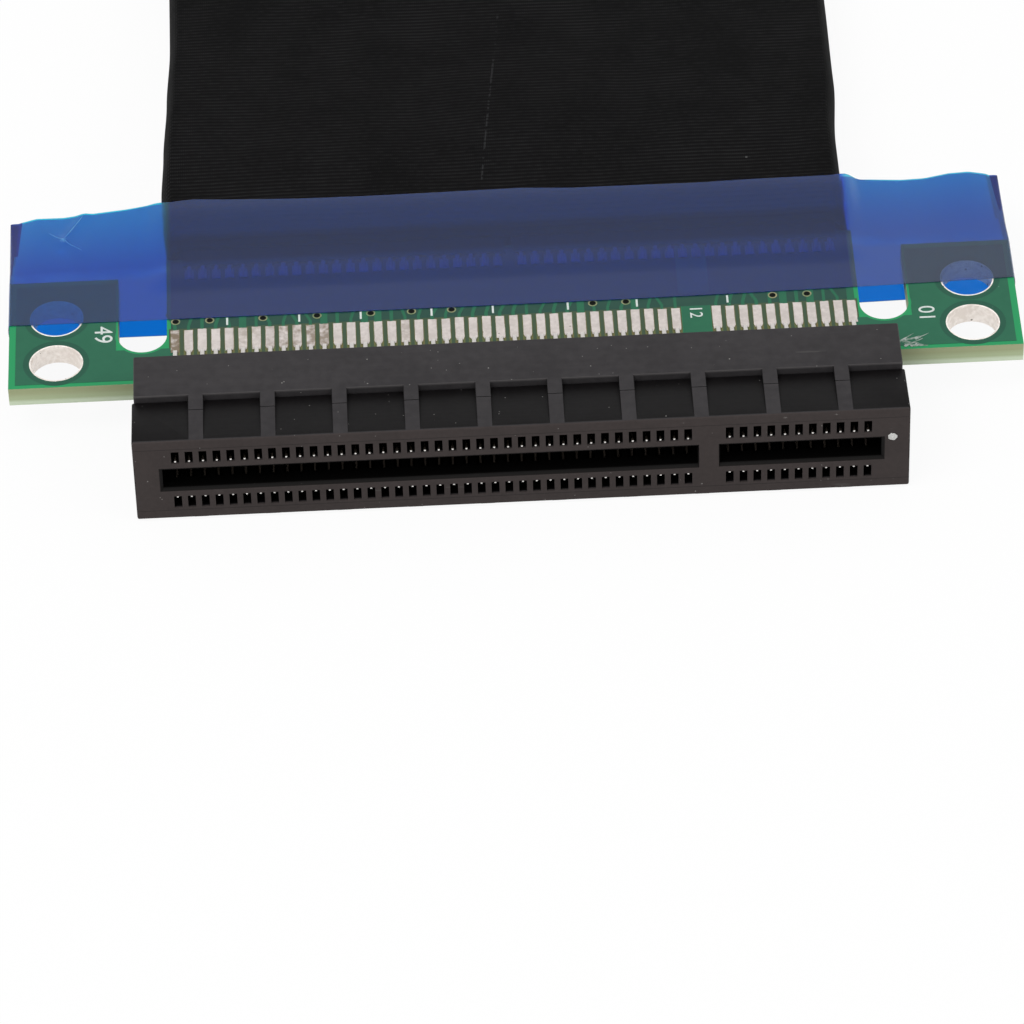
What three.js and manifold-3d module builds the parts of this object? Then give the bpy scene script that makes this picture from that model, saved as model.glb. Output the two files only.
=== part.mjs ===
// Flat riser cable for an expansion card: a card slot on a small board at the near end, a flat
// sleeved cable, and a keyed edge card at the far end.
// Millimetres. X runs along the slot, +Y from the slot's mouth towards the cable, +Z up.
// The origin is under the middle of the near end, on the surface that the cable lies on.

import * as THREE from 'three';
import { mergeVertices } from 'three/addons/utils/BufferGeometryUtils.js';
import Module from 'manifold-3d';

// Contacts
const contactPitch = 1.0;
const longBankContacts = 38;
const shortBankContacts = 11;
const keyGap = 3.0;
const contactWidth = 0.4;
const contactThickness = 0.18;
const contactReach = 0.1;
const tailOnBoard = 4.6;
const padRise = 0.05;

// Card slot
const slotEndMargin = 1.0;
const slotWidth = 1.75;
const slotDepth = 7.8;
const keyWidth = 1.6;
const mouthChamfer = 0.32;
const mouthEndChamfer = 0.3;
const mouthKeyChamfer = 0.1;
const mouthChamferDepth = 0.9;

// Contact windows and the cavities behind them
const windowWidth = 0.57;
const windowHeight = 1.1;
const windowRowHeight = 2.15;
const windowLip = 1.4;
const cavityFloor = 0.3;

// Slot housing
const housingHeight = 7.5;
const housingFrontDepth = 5.0;
const housingRearDepth = 4.4;
const housingEndWall = 2.05;
const housingRearInset = 0.15;
const pocketDepth = 0.57;
const ribWidth = 1.13;
const ribPitch = 5.2;

// Slot board
const boardThickness = 1.57;
const boardSetback = 0.35;
const tongueEndMargin = 0.6;
const notchWidth = 3.6;
const notchStart = 3.45;
const mountHoleRadius = 2.0;
const mountHoleWeb = 0.95;
const mountHoleFrontMargin = 0.65;
const mountHoleBackMargin = 2.15;
const mountHoleInnerMargin = 2.55;
const mountHoleOuterMargin = 1.5;
const tongueOvershoot = 1.9;

// Signal ribbons
const ribbonWidth = 24.1;
const ribbonThickness = 1.8;
const ribbonSplit = 0.6;
const ribbonGap = 0.2;
const ribbonSetback = 0.3;
const conductorsPerRibbon = 16;
const conductorWidth = 0.32;
const conductorThickness = 0.3;
const conductorOnBoard = 2.6;

// Cable sleeve
const sleeveWall = 0.4;
const sleeveSideRoom = 0.9;
const sleeveCornerRadius = 1.6;
const sleeveSetback = 1.7;
const sleeveLength = 310;
const sleeveLevelLength = 5.0;
const sleeveDropLength = 22.0;

// Film tape
const tapeThickness = 0.12;
const tapeClearance = 0.1;
const tapeOnBoard = 4.7;
const tapeWidth = 12.0;
const tapeLooseHeight = 0.5;
const tapeSettle = 1.6;
const tapeStep = 0.3;
// Outline of the tape's edge on the cable: place across the wrap, how far past the tape's width.
const nearTapeEdge = [
  [-1.0, -0.2], [-0.86, 0.25], [-0.69, 1.2], [-0.62, 0.2], [-0.18, -0.4],
  [0.19, -0.6], [0.59, -0.2], [0.78, 0.2], [0.94, 0.7], [1.0, 0.3],
];
const farTapeEdge = [[-1.0, 0], [-0.5, 0.3], [0.1, -0.2], [0.7, 0.2], [1.0, 0]];

// Edge card
const cardTongueDepth = 12.0;
const cardTongueMargin = 0.65;
const cardBodyDepth = 14.0;
const cardShoulder = 4.35;
const cardBevel = 1.1;
const cardBevelDrop = 0.4;
const cardNotchClearance = 0.15;
const cardNotchDepth = 8.25;
const cardCornerRadius = 1.0;

// Worked out from the sizes above, with the mating face at y = 0 and the board's middle at z = 0
const contactSpan = (longBankContacts + shortBankContacts - 2) * contactPitch + keyGap;
const firstContactX = -contactSpan / 2;
const keyX = firstContactX + (longBankContacts - 1) * contactPitch + keyGap / 2;
const slotHalfLength = contactSpan / 2 + slotEndMargin;
const housingDepth = housingFrontDepth + housingRearDepth;
const housingHalfLength = slotHalfLength + housingEndWall;
const boardTop = boardThickness / 2;
const boardFrontY = housingDepth + boardSetback;
const tongueHalfWidth = contactSpan / 2 + tongueEndMargin;
const mountHoleFromEnd = mountHoleOuterMargin + mountHoleRadius;
const boardHalfLength = tongueHalfWidth + notchWidth + mountHoleInnerMargin
  + mountHoleRadius + mountHoleFromEnd;
const firstHoleY = boardFrontY + mountHoleFrontMargin + mountHoleRadius;
const secondHoleY = firstHoleY + 2 * mountHoleRadius + mountHoleWeb;
const tabBackY = secondHoleY + mountHoleRadius + mountHoleBackMargin;
const tongueBackY = tabBackY + tongueOvershoot;
const ribbonFrontY = tongueBackY + ribbonSetback;
const sleeveFrontY = ribbonFrontY + sleeveSetback;
const sleeveBackY = sleeveFrontY + sleeveLength;
const ribbonBackY = sleeveBackY + sleeveSetback;
const cardBackY = ribbonBackY + ribbonSetback;
const sleeveHalfWidth = ribbonSplit / 2 + ribbonWidth + sleeveSideRoom + sleeveWall;
const sleeveThickness = 2 * ribbonThickness + 3 * ribbonGap + 2 * sleeveWall;
const floorZ = -housingHeight / 2;
const cableRestZ = floorZ + tapeThickness + tapeClearance + sleeveThickness / 2;
const tapeFrontY = tabBackY - tapeOnBoard;
const tapeReach = tapeWidth + Math.max(...nearTapeEdge.map(([, past]) => past));
const nearEndDepth = tapeFrontY + tapeReach;

const wasm = await Module();
wasm.setup();

function toSolid(geometry) {
  const bare = geometry.clone();
  bare.deleteAttribute('normal');
  bare.deleteAttribute('uv');
  const merged = mergeVertices(bare, 1e-5);
  const vertProperties = new Float32Array(merged.attributes.position.array);
  const triVerts = new Uint32Array(merged.index.array);
  return new wasm.Manifold(new wasm.Mesh({ numProp: 3, vertProperties, triVerts }));
}

function toGeometry(solid) {
  const mesh = solid.getMesh();
  const geometry = new THREE.BufferGeometry();
  geometry.setAttribute('position', new THREE.BufferAttribute(new Float32Array(mesh.vertProperties), 3));
  geometry.setIndex(new THREE.BufferAttribute(new Uint32Array(mesh.triVerts), 1));
  geometry.computeVertexNormals();
  return geometry;
}

// A box given by its low and high corner.
function boxBetween(low, high) {
  const size = high.map((value, i) => value - low[i]);
  const middle = high.map((value, i) => (value + low[i]) / 2);
  return new THREE.BoxGeometry(...size).translate(...middle);
}

// An outline in the YZ plane, extruded along X about the place x.
function alongX(outline, x, width) {
  const shape = new THREE.Shape(outline.map(([y, z]) => new THREE.Vector2(y, z)));
  const geometry = new THREE.ExtrudeGeometry(shape, { depth: width, bevelEnabled: false });
  const toYZ = new THREE.Matrix4().makeBasis(
    new THREE.Vector3(0, 1, 0), new THREE.Vector3(0, 0, 1), new THREE.Vector3(1, 0, 0));
  return geometry.applyMatrix4(toYZ).translate(x - width / 2, 0, 0);
}

// The outline of a strip of even thickness that follows a line of points.
function stripOutline(line, thickness) {
  const points = line.map(([y, z]) => new THREE.Vector2(y, z));
  const left = [];
  const right = [];
  points.forEach((point, i) => {
    const before = points[Math.max(i - 1, 0)];
    const after = points[Math.min(i + 1, points.length - 1)];
    const into = point.clone().sub(i > 0 ? before : point);
    const out = after.clone().sub(i < points.length - 1 ? point : after);
    const along = into.normalize().add(out.normalize()).normalize();
    const side = new THREE.Vector2(-along.y, along.x).multiplyScalar(thickness / 2);
    left.push(point.clone().add(side));
    right.unshift(point.clone().sub(side));
  });
  return [...left, ...right].map((point) => [point.x, point.y]);
}

function geometryFrom(points, faces) {
  const geometry = new THREE.BufferGeometry();
  const flat = points.flatMap((point) => [point.x, point.y, point.z]);
  geometry.setAttribute('position', new THREE.Float32BufferAttribute(flat, 3));
  geometry.setIndex(faces.flat());
  geometry.computeVertexNormals();
  return geometry;
}

// A solid through rings of points. Each ring is convex, lies across Y and starts at its top left.
function loftSolid(rings) {
  const count = rings[0].length;
  const last = (rings.length - 1) * count;
  const faces = [];
  for (let i = 0; i < rings.length - 1; i += 1) {
    for (let k = 0; k < count; k += 1) {
      const a = i * count + k;
      const b = i * count + ((k + 1) % count);
      faces.push([a, b, a + count], [b, b + count, a + count]);
    }
  }
  for (let k = 1; k < count - 1; k += 1) {
    faces.push([0, k + 1, k], [last, last + k, last + k + 1]);
  }
  return geometryFrom(rings.flat(), faces);
}

// An open-ended shell through pairs of rings, an outer and an inner one at each place along Y.
function loftShell(outerRings, innerRings) {
  const count = outerRings[0].length;
  const inner = outerRings.length * count;
  const lastRing = (outerRings.length - 1) * count;
  const faces = [];
  for (let k = 0; k < count; k += 1) {
    const next = (k + 1) % count;
    for (let i = 0; i < outerRings.length - 1; i += 1) {
      const a = i * count + k;
      const b = i * count + next;
      faces.push([a, b, a + count], [b, b + count, a + count]);
      faces.push([inner + a, inner + a + count, inner + b], [inner + b, inner + a + count, inner + b + count]);
    }
    faces.push([k, inner + k, next], [inner + k, inner + next, next]);
    const a = lastRing + k;
    const b = lastRing + next;
    faces.push([a, b, inner + a], [inner + a, b, inner + b]);
  }
  return geometryFrom([...outerRings.flat(), ...innerRings.flat()], faces);
}

// A rectangle across Y, from low x and z to high x and z.
function rectangleRing(y, lowX, highX, lowZ, highZ) {
  return [
    new THREE.Vector3(lowX, y, highZ), new THREE.Vector3(highX, y, highZ),
    new THREE.Vector3(highX, y, lowZ), new THREE.Vector3(lowX, y, lowZ),
  ];
}

function contactPlaces() {
  const places = [];
  for (let i = 0; i < longBankContacts; i += 1) {
    places.push(firstContactX + i * contactPitch);
  }
  for (let i = 0; i < shortBankContacts; i += 1) {
    places.push(-firstContactX - i * contactPitch);
  }
  return places;
}

// Slot housing
function housingBlock() {
  const half = housingHeight / 2;
  const low = half - pocketDepth;
  const front = alongX(
    [[0, -half], [housingFrontDepth, -low], [housingFrontDepth, low], [0, half]],
    0, 2 * housingHalfLength);
  const rearHalf = housingHalfLength - housingRearInset;
  const core = boxBetween([-rearHalf, housingFrontDepth / 2, -low], [rearHalf, housingDepth, low]);
  const rear = boxBetween([-rearHalf, housingFrontDepth, -half], [rearHalf, housingDepth, half]);
  let block = toSolid(front).add(toSolid(core)).add(toSolid(rear));
  for (let x = ribPitch / 2; x + ribWidth / 2 < rearHalf; x += ribPitch) {
    for (const side of [-1, 1]) {
      const middle = side * x;
      const rib = boxBetween(
        [middle - ribWidth / 2, 0, -half],
        [middle + ribWidth / 2, housingFrontDepth + housingRearDepth / 2, half]);
      block = block.add(toSolid(rib));
    }
  }
  return block;
}

// One bank of the slot: straight walls with a chamfered mouth.
function slotBank(lowX, highX, lowChamfer, highChamfer) {
  const half = slotWidth / 2;
  const mouth = (y) => rectangleRing(
    y, lowX - lowChamfer, highX + highChamfer, -half - mouthChamfer, half + mouthChamfer);
  const wall = (y) => rectangleRing(y, lowX, highX, -half, half);
  return toSolid(loftSolid([mouth(-1), mouth(0), wall(mouthChamferDepth), wall(slotDepth)]));
}

// The window at the mouth and the cavity behind it, open to the slot.
function contactCavity(x, side) {
  const low = windowRowHeight - windowHeight / 2;
  const high = windowRowHeight + windowHeight / 2;
  const back = slotDepth - cavityFloor;
  const outline = [
    [-1, low], [windowLip, low], [windowLip, slotWidth / 4], [back, slotWidth / 4],
    [back, high], [-1, high],
  ].map(([y, z]) => [y, side * z]);
  return toSolid(alongX(side > 0 ? outline : outline.reverse(), x, windowWidth));
}

// A bent spring strip: tail on the board, through the housing's floor, down to the card and up to its tip.
function contactSpring(x, side) {
  const tailZ = boardTop + padRise + contactThickness / 2;
  const low = windowRowHeight - windowHeight / 2;
  const line = [
    [boardFrontY + tailOnBoard, tailZ],
    [housingDepth - contactThickness, tailZ],
    [slotDepth - cavityFloor, windowRowHeight - contactThickness],
    [slotDepth * 0.38, boardTop - contactReach],
    [windowLip / 2, low + contactThickness],
  ].map(([y, z]) => [y, side * z]);
  const outline = stripOutline(line, contactThickness);
  return toSolid(alongX(side > 0 ? outline : outline.reverse(), x, contactWidth));
}

function slotHousing() {
  const keyHalf = keyWidth / 2;
  let solid = housingBlock()
    .subtract(slotBank(-slotHalfLength, keyX - keyHalf, mouthEndChamfer, mouthKeyChamfer))
    .subtract(slotBank(keyX + keyHalf, slotHalfLength, mouthKeyChamfer, mouthEndChamfer));
  const sides = [-1, 1];
  const places = contactPlaces();
  const cavities = places.flatMap((x) => sides.map((side) => contactCavity(x, side)));
  const springs = places.flatMap((x) => sides.map((side) => contactSpring(x, side)));
  solid = wasm.Manifold.difference([solid, ...cavities]);
  solid = wasm.Manifold.union([solid, ...springs]);
  return toGeometry(solid);
}

// Slot board
function roundHole(x, y, radius) {
  const hole = new THREE.Path();
  hole.absarc(x, y, radius, 0, 2 * Math.PI, true);
  return hole;
}

function slotBoard() {
  const notchRadius = notchWidth / 2;
  const notchX = tongueHalfWidth + notchRadius;
  const notchY = boardFrontY + notchStart + notchRadius;
  const shape = new THREE.Shape();
  shape.moveTo(-boardHalfLength, boardFrontY);
  shape.lineTo(boardHalfLength, boardFrontY);
  shape.lineTo(boardHalfLength, tabBackY);
  shape.lineTo(notchX + notchRadius, tabBackY);
  shape.lineTo(notchX + notchRadius, notchY);
  shape.absarc(notchX, notchY, notchRadius, 0, -Math.PI, true);
  shape.lineTo(tongueHalfWidth, tongueBackY);
  shape.lineTo(-tongueHalfWidth, tongueBackY);
  shape.lineTo(-tongueHalfWidth, notchY);
  shape.absarc(-notchX, notchY, notchRadius, 0, -Math.PI, true);
  shape.lineTo(-notchX - notchRadius, tabBackY);
  shape.lineTo(-boardHalfLength, tabBackY);
  shape.closePath();
  for (const side of [-1, 1]) {
    const x = side * (boardHalfLength - mountHoleFromEnd);
    shape.holes.push(roundHole(x, firstHoleY, mountHoleRadius), roundHole(x, secondHoleY, mountHoleRadius));
  }
  const geometry = new THREE.ExtrudeGeometry(
    shape, { depth: boardThickness, bevelEnabled: false, curveSegments: 10 });
  return toGeometry(toSolid(geometry.translate(0, 0, -boardTop)));
}

// Cable: level with the board at the near end, then down to the surface it lies on
function cableMiddleZ(y) {
  const start = sleeveFrontY + sleeveLevelLength;
  const share = THREE.MathUtils.smoothstep(y, start, start + sleeveDropLength);
  return cableRestZ * share;
}

function cablePlaces(startY, endY) {
  const dropStart = sleeveFrontY + sleeveLevelLength;
  const dropSteps = 6;
  const places = [startY];
  for (let i = 0; i <= dropSteps; i += 1) {
    places.push(dropStart + (i * sleeveDropLength) / dropSteps);
  }
  const thirds = (endY - places[places.length - 1]) / 3;
  places.push(endY - 2 * thirds, endY - thirds, endY);
  return places;
}

function roundedRing(y, halfWidth, halfHeight, radius) {
  const middleZ = cableMiddleZ(y);
  const ring = [];
  const cornerSteps = 3;
  const corners = [[-1, 1, Math.PI], [1, 1, Math.PI / 2], [1, -1, 0], [-1, -1, -Math.PI / 2]];
  for (const [sideX, sideZ, startAngle] of corners) {
    for (let i = 0; i <= cornerSteps; i += 1) {
      const angle = startAngle - (i * Math.PI) / 2 / cornerSteps;
      ring.push(new THREE.Vector3(
        sideX * (halfWidth - radius) + radius * Math.cos(angle), y,
        middleZ + sideZ * (halfHeight - radius) + radius * Math.sin(angle)));
    }
  }
  return ring;
}

function cableSleeve() {
  const places = cablePlaces(sleeveFrontY, sleeveBackY);
  const halfHeight = sleeveThickness / 2;
  const outer = places.map((y) => roundedRing(y, sleeveHalfWidth, halfHeight, sleeveCornerRadius));
  const inner = places.map((y) => roundedRing(
    y, sleeveHalfWidth - sleeveWall, halfHeight - sleeveWall, sleeveCornerRadius - sleeveWall));
  return loftShell(outer, inner);
}

function ribbon(sideX, sideZ) {
  const nearX = ribbonSplit / 2;
  const farX = nearX + ribbonWidth;
  const nearZ = ribbonGap / 2;
  const farZ = nearZ + ribbonThickness;
  const [lowX, highX] = sideX > 0 ? [nearX, farX] : [-farX, -nearX];
  const [lowZ, highZ] = sideZ > 0 ? [nearZ, farZ] : [-farZ, -nearZ];
  const rings = cablePlaces(ribbonFrontY, ribbonBackY).map((y) => {
    const middle = cableMiddleZ(y);
    return rectangleRing(y, lowX, highX, middle + lowZ, middle + highZ);
  });
  let solid = toSolid(loftSolid(rings));
  const pitch = ribbonWidth / conductorsPerRibbon;
  const rise = boardTop + padRise;
  const ends = [
    [tongueBackY - conductorOnBoard, ribbonFrontY + ribbonSetback, 0],
    [ribbonBackY - ribbonSetback, cardBackY + conductorOnBoard, cableRestZ],
  ];
  for (const [startY, endY, middle] of ends) {
    for (let i = 0; i < conductorsPerRibbon; i += 1) {
      const x = lowX + pitch * (i + 0.5);
      const [bottom, top] = sideZ > 0
        ? [middle + rise, middle + rise + conductorThickness]
        : [middle - rise - conductorThickness, middle - rise];
      const conductor = boxBetween(
        [x - conductorWidth / 2, startY, bottom], [x + conductorWidth / 2, endY, top]);
      solid = solid.add(toSolid(conductor));
    }
  }
  return toGeometry(solid);
}

// Film tape: a flat loop round a board and the cable's end

// The value at a place on a line of [place, value] points.
function valueAlong(line, place) {
  const next = Math.max(1, line.findIndex(([to]) => to >= place));
  const [[from, fromValue], [to, toValue]] = [line[next - 1], line[next]];
  return THREE.MathUtils.lerp(fromValue, toValue, (place - from) / (to - from));
}

// Stations from the tape's first edge, over the board, to the cable. Each has its place and how far
// the tape stands off the middle, over the cable and at the sides.
function tapeStations(boardEnd, tongueEnd, wrapStart) {
  const off = tapeClearance + tapeThickness / 2;
  const flat = boardTop + off;
  const overWires = boardTop + padRise + conductorThickness + off;
  const overRibbons = ribbonGap / 2 + ribbonThickness + off;
  const overSleeve = sleeveThickness / 2 + off;
  const wiresStart = tongueEnd - conductorOnBoard;
  const sleeveStart = tongueEnd + ribbonSetback + sleeveSetback;
  const end = wrapStart + tapeWidth;
  const centreLine = [
    [wrapStart, flat], [wiresStart - 2 * tapeStep, flat], [wiresStart - tapeStep, overWires],
    [tongueEnd - tapeStep, overWires], [tongueEnd, overRibbons], [sleeveStart - tapeStep, overSleeve],
    [end, overSleeve],
  ];
  const sideLine = [
    [wrapStart, flat], [boardEnd + tapeStep, flat], [boardEnd + tapeSettle, tapeLooseHeight],
    [end, tapeLooseHeight],
  ];
  const places = [...centreLine, ...sideLine].map(([place]) => place).filter((place) => place < end);
  const stations = [...new Set(places)].sort((a, b) => a - b);
  return stations.map((place) => [place, valueAlong(centreLine, place), valueAlong(sideLine, place)]);
}

function tapeWrap({ halfWidth, boardEnd, tongueEnd, wrapStart, edge, toY, middleZ }) {
  const tip = halfWidth + tapeClearance + tapeThickness / 2;
  const round = sleeveHalfWidth - sleeveCornerRadius;
  const shoulders = [
    [round + tapeClearance, 1], [sleeveHalfWidth + 2 * tapeClearance, 0.66],
    [sleeveHalfWidth + sleeveCornerRadius, 0.05],
  ];
  const xs = [
    [0, 1], [round / 3, 1], [(2 * round) / 3, 1], ...shoulders,
    [(sleeveHalfWidth + sleeveCornerRadius + tip) / 2, 0], [tip - tapeThickness, 0], [tip, 0],
  ];
  const across = [...xs.slice(1).reverse().map(([x, share]) => [-x, share]), ...xs];
  const stations = tapeStations(boardEnd, tongueEnd, wrapStart);
  const lastStation = stations[stations.length - 1];
  const ringAt = (station, offset, last) => {
    const [place, centre, wing] = station;
    const point = ([x, share], side) => {
      const atTip = Math.abs(x) === tip ? Math.sign(x) * offset : 0;
      const y = last ? wrapStart + tapeWidth + valueAlong(edge, x / tip) : place;
      const height = wing + (centre - wing) * share + offset;
      return new THREE.Vector3(x + atTip, toY(y), middleZ + side * height);
    };
    return [
      ...across.map((entry) => point(entry, 1)),
      ...across.toReversed().map((entry) => point(entry, -1)),
    ];
  };
  const ringsAt = (offset) => {
    const rings = stations.map((station) => ringAt(station, offset, false));
    rings.push(ringAt(lastStation, offset, true));
    return toY(1) > toY(0) ? rings : rings.reverse();
  };
  return loftShell(ringsAt(tapeThickness / 2), ringsAt(-tapeThickness / 2));
}

function nearTapeWrap() {
  return tapeWrap({
    halfWidth: boardHalfLength, boardEnd: tabBackY, tongueEnd: tongueBackY,
    wrapStart: tapeFrontY, edge: nearTapeEdge, toY: (y) => y, middleZ: 0,
  });
}

// Edge card at the far end: keyed tongue, shoulders, bevelled tip
const cardTongueHalfWidth = contactSpan / 2 + cardTongueMargin;
const cardHalfWidth = cardTongueHalfWidth + cardShoulder;
const cardTipY = cardBackY + cardBodyDepth + cardTongueDepth;

function edgeCard() {
  const shoulderY = cardTipY - cardTongueDepth;
  const notchHalf = keyWidth / 2 + cardNotchClearance;
  const radius = cardCornerRadius;
  const shape = new THREE.Shape();
  shape.moveTo(-cardHalfWidth, cardBackY);
  shape.lineTo(cardHalfWidth, cardBackY);
  shape.lineTo(cardHalfWidth, shoulderY - radius);
  shape.absarc(cardHalfWidth - radius, shoulderY - radius, radius, 0, Math.PI / 2, false);
  shape.lineTo(cardTongueHalfWidth, shoulderY);
  shape.lineTo(cardTongueHalfWidth, cardTipY);
  shape.lineTo(keyX + notchHalf, cardTipY);
  shape.lineTo(keyX + notchHalf, cardTipY - cardNotchDepth + notchHalf);
  shape.absarc(keyX, cardTipY - cardNotchDepth + notchHalf, notchHalf, 0, -Math.PI, true);
  shape.lineTo(keyX - notchHalf, cardTipY);
  shape.lineTo(-cardTongueHalfWidth, cardTipY);
  shape.lineTo(-cardTongueHalfWidth, shoulderY);
  shape.lineTo(-cardHalfWidth + radius, shoulderY);
  shape.absarc(-cardHalfWidth + radius, shoulderY - radius, radius, Math.PI / 2, Math.PI, false);
  shape.closePath();
  const board = new THREE.ExtrudeGeometry(
    shape, { depth: boardThickness, bevelEnabled: false, curveSegments: 6 });
  let solid = toSolid(board.translate(0, 0, -boardTop));
  for (const side of [-1, 1]) {
    const outline = [
      [cardTipY - cardBevel, side * boardTop],
      [cardTipY - cardBevel, side * (boardTop + 1)],
      [cardTipY + 1, side * (boardTop + 1)],
      [cardTipY + 1, side * (boardTop - cardBevelDrop)],
      [cardTipY, side * (boardTop - cardBevelDrop)],
    ];
    const wedge = alongX(side > 0 ? outline.reverse() : outline, 0, 2 * cardHalfWidth);
    solid = solid.subtract(toSolid(wedge));
  }
  return toGeometry(solid).translate(0, 0, cableRestZ);
}

function farTapeWrap() {
  const wrapStart = cardBodyDepth + cardTongueDepth - tapeOnBoard;
  const boardEnd = cardBodyDepth + cardTongueDepth;
  return tapeWrap({
    halfWidth: cardHalfWidth, boardEnd, tongueEnd: boardEnd, wrapStart,
    edge: farTapeEdge, toY: (y) => cardTipY - y, middleZ: cableRestZ,
  });
}

// Assembly
const black = { color: 0x3a393c, roughness: 0.6, metalness: 0 };
const green = { color: 0x1f5a35, roughness: 0.45, metalness: 0 };
const blue = { color: 0x2358b0, roughness: 0.3, metalness: 0 };
const fabric = { color: 0x1a1a1a, roughness: 0.9, metalness: 0 };
const foil = { color: 0xa9abb0, roughness: 0.4, metalness: 0.6 };

const riser = new THREE.Group();
riser.position.set(0, -nearEndDepth / 2, -floorZ);

function addPiece(name, geometry, look) {
  const mesh = new THREE.Mesh(geometry, new THREE.MeshStandardMaterial(look));
  mesh.name = name;
  riser.add(mesh);
}

addPiece('slot_housing', slotHousing(), black);
addPiece('slot_board', slotBoard(), green);
addPiece('near_tape_wrap', nearTapeWrap(), blue);
addPiece('cable_sleeve', cableSleeve(), fabric);
addPiece('upper_ribbon_left', ribbon(-1, 1), foil);
addPiece('upper_ribbon_right', ribbon(1, 1), foil);
addPiece('lower_ribbon_left', ribbon(-1, -1), foil);
addPiece('lower_ribbon_right', ribbon(1, -1), foil);
addPiece('edge_card', edgeCard(), green);
addPiece('far_tape_wrap', farTapeWrap(), blue);

const model = new THREE.Group();
model.add(riser);

export default model;
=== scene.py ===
# %% [markdown]
# A flat riser cable for an expansion card. The near end is a black card slot on a small green
# board. Blue film tape holds the board to a wide flat cable in a black fabric sleeve. The far end,
# outside the first view, is an edge card with gold fingers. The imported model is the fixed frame:
# every piece here is made round it, in metres.

# %% Load the frame
import math
import random

import bpy
from mathutils import Euler, Matrix, Vector


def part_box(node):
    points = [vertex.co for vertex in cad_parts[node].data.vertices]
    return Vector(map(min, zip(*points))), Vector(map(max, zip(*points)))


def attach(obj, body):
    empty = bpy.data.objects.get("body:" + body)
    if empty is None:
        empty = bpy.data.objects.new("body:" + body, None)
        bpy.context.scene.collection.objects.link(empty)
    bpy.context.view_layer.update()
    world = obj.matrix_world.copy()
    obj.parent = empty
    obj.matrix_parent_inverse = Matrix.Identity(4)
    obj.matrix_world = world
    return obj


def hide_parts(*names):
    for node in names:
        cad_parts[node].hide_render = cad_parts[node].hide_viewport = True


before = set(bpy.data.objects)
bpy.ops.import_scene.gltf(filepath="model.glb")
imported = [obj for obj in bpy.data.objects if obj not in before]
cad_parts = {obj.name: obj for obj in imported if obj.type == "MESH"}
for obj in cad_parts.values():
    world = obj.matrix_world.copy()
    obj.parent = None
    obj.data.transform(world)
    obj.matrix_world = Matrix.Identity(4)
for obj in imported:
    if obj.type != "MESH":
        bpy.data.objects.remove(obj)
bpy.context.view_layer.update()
scene = bpy.context.scene

# %% [markdown]
# Sizes are easiest to read in millimetres, counted from the slot's mouth (y = 0) and from the
# middle of the board's thickness (z = 0). The frame says where those two are.

# %% Slot places
MM = 0.001
housing_low = Vector(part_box("slot_housing")[0])
board_low, board_high = (Vector(corner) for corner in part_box("slot_board"))
MOUTH = Vector((0.0, housing_low.y, (board_low.z + board_high.z) / 2))
BOARD_TOP = (board_high.z - board_low.z) / 2 / MM


def at(x, y, z):
    """A point in the row frame from millimetres at the slot."""
    return MOUTH + Vector((x, y, z)) * MM


print("mouth of the slot:", MOUTH)

# %% [markdown]
# The camera looks down on the slot from the front at 43 degrees, from almost half a metre away,
# with a long lens. The four lines that turn it are the usual ones: a direction back from the
# subject, a line to its right, and the two turned together by the small roll of the picture.

# %% Camera
AZIMUTH = math.radians(-1.1735)
ELEVATION = math.radians(42.926)
ROLL = math.radians(-1.8006)
DISTANCE = 475.749
SHIFT_RIGHT = 0.758
SHIFT_UP = 3.442
FOCAL_LENGTH_PX = 6585.1
PHOTO_WIDTH_PX = 1024

back = Vector((
    math.sin(AZIMUTH) * math.cos(ELEVATION),
    -math.cos(AZIMUTH) * math.cos(ELEVATION),
    math.sin(ELEVATION),
))
level_right = Vector((math.cos(AZIMUTH), math.sin(AZIMUTH), 0))
level_up = back.cross(level_right)
camera_right = level_right * math.cos(ROLL) + level_up * math.sin(ROLL)
camera_up = level_up * math.cos(ROLL) - level_right * math.sin(ROLL)
camera_data = bpy.data.cameras.new("camera")
camera_data.sensor_width = 36
camera_data.lens = camera_data.sensor_width * FOCAL_LENGTH_PX / PHOTO_WIDTH_PX
camera_data.clip_start = 0.02
camera = bpy.data.objects.new("camera", camera_data)
camera.location = at(*(back * DISTANCE - camera_right * SHIFT_RIGHT - camera_up * SHIFT_UP))
camera.rotation_euler = Matrix((camera_right, camera_up, back)).transposed().to_euler()
scene.collection.objects.link(camera)
scene.camera = camera
scene.view_settings.view_transform = "Standard"

# %% [markdown]
# Three short helpers build shader trees: one adds a node with its settings, values and sources,
# one adds a Math node in the tree that its sources are in, and one multiplies masks.

# %% Shader helpers


def add_node(tree, kind, settings=(), inputs=(), links=()):
    """Adds one node: settings are its properties, inputs its plain values, links its sources."""
    made = tree.nodes.new(kind)
    for key, value in dict(settings).items():
        setattr(made, key, value)
    for key, value in dict(inputs).items():
        made.inputs[key].default_value = value
    for key, source in dict(links).items():
        tree.links.new(source, made.inputs[key])
    return made


def maths(operation, first, second=0.0):
    """A Math node of two values, each a number or a source."""
    tree = (second if isinstance(first, (int, float)) else first).id_data
    made = add_node(tree, "ShaderNodeMath", {"operation": operation})
    for index, value in enumerate((first, second)):
        if isinstance(value, (int, float)):
            made.inputs[index].default_value = value
        else:
            tree.links.new(value, made.inputs[index])
    return made.outputs[0]


def product(first, *others):
    for mask in others:
        first = maths("MULTIPLY", first, mask)
    return first


def inverse(mask):
    return maths("SUBTRACT", 1.0, mask)


# %% [markdown]
# The photograph has a pure white surround. The lamps stay at a plain level, and white comes from
# the floor's and world's own colour, which only camera, glossy and transmission rays see.

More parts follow.
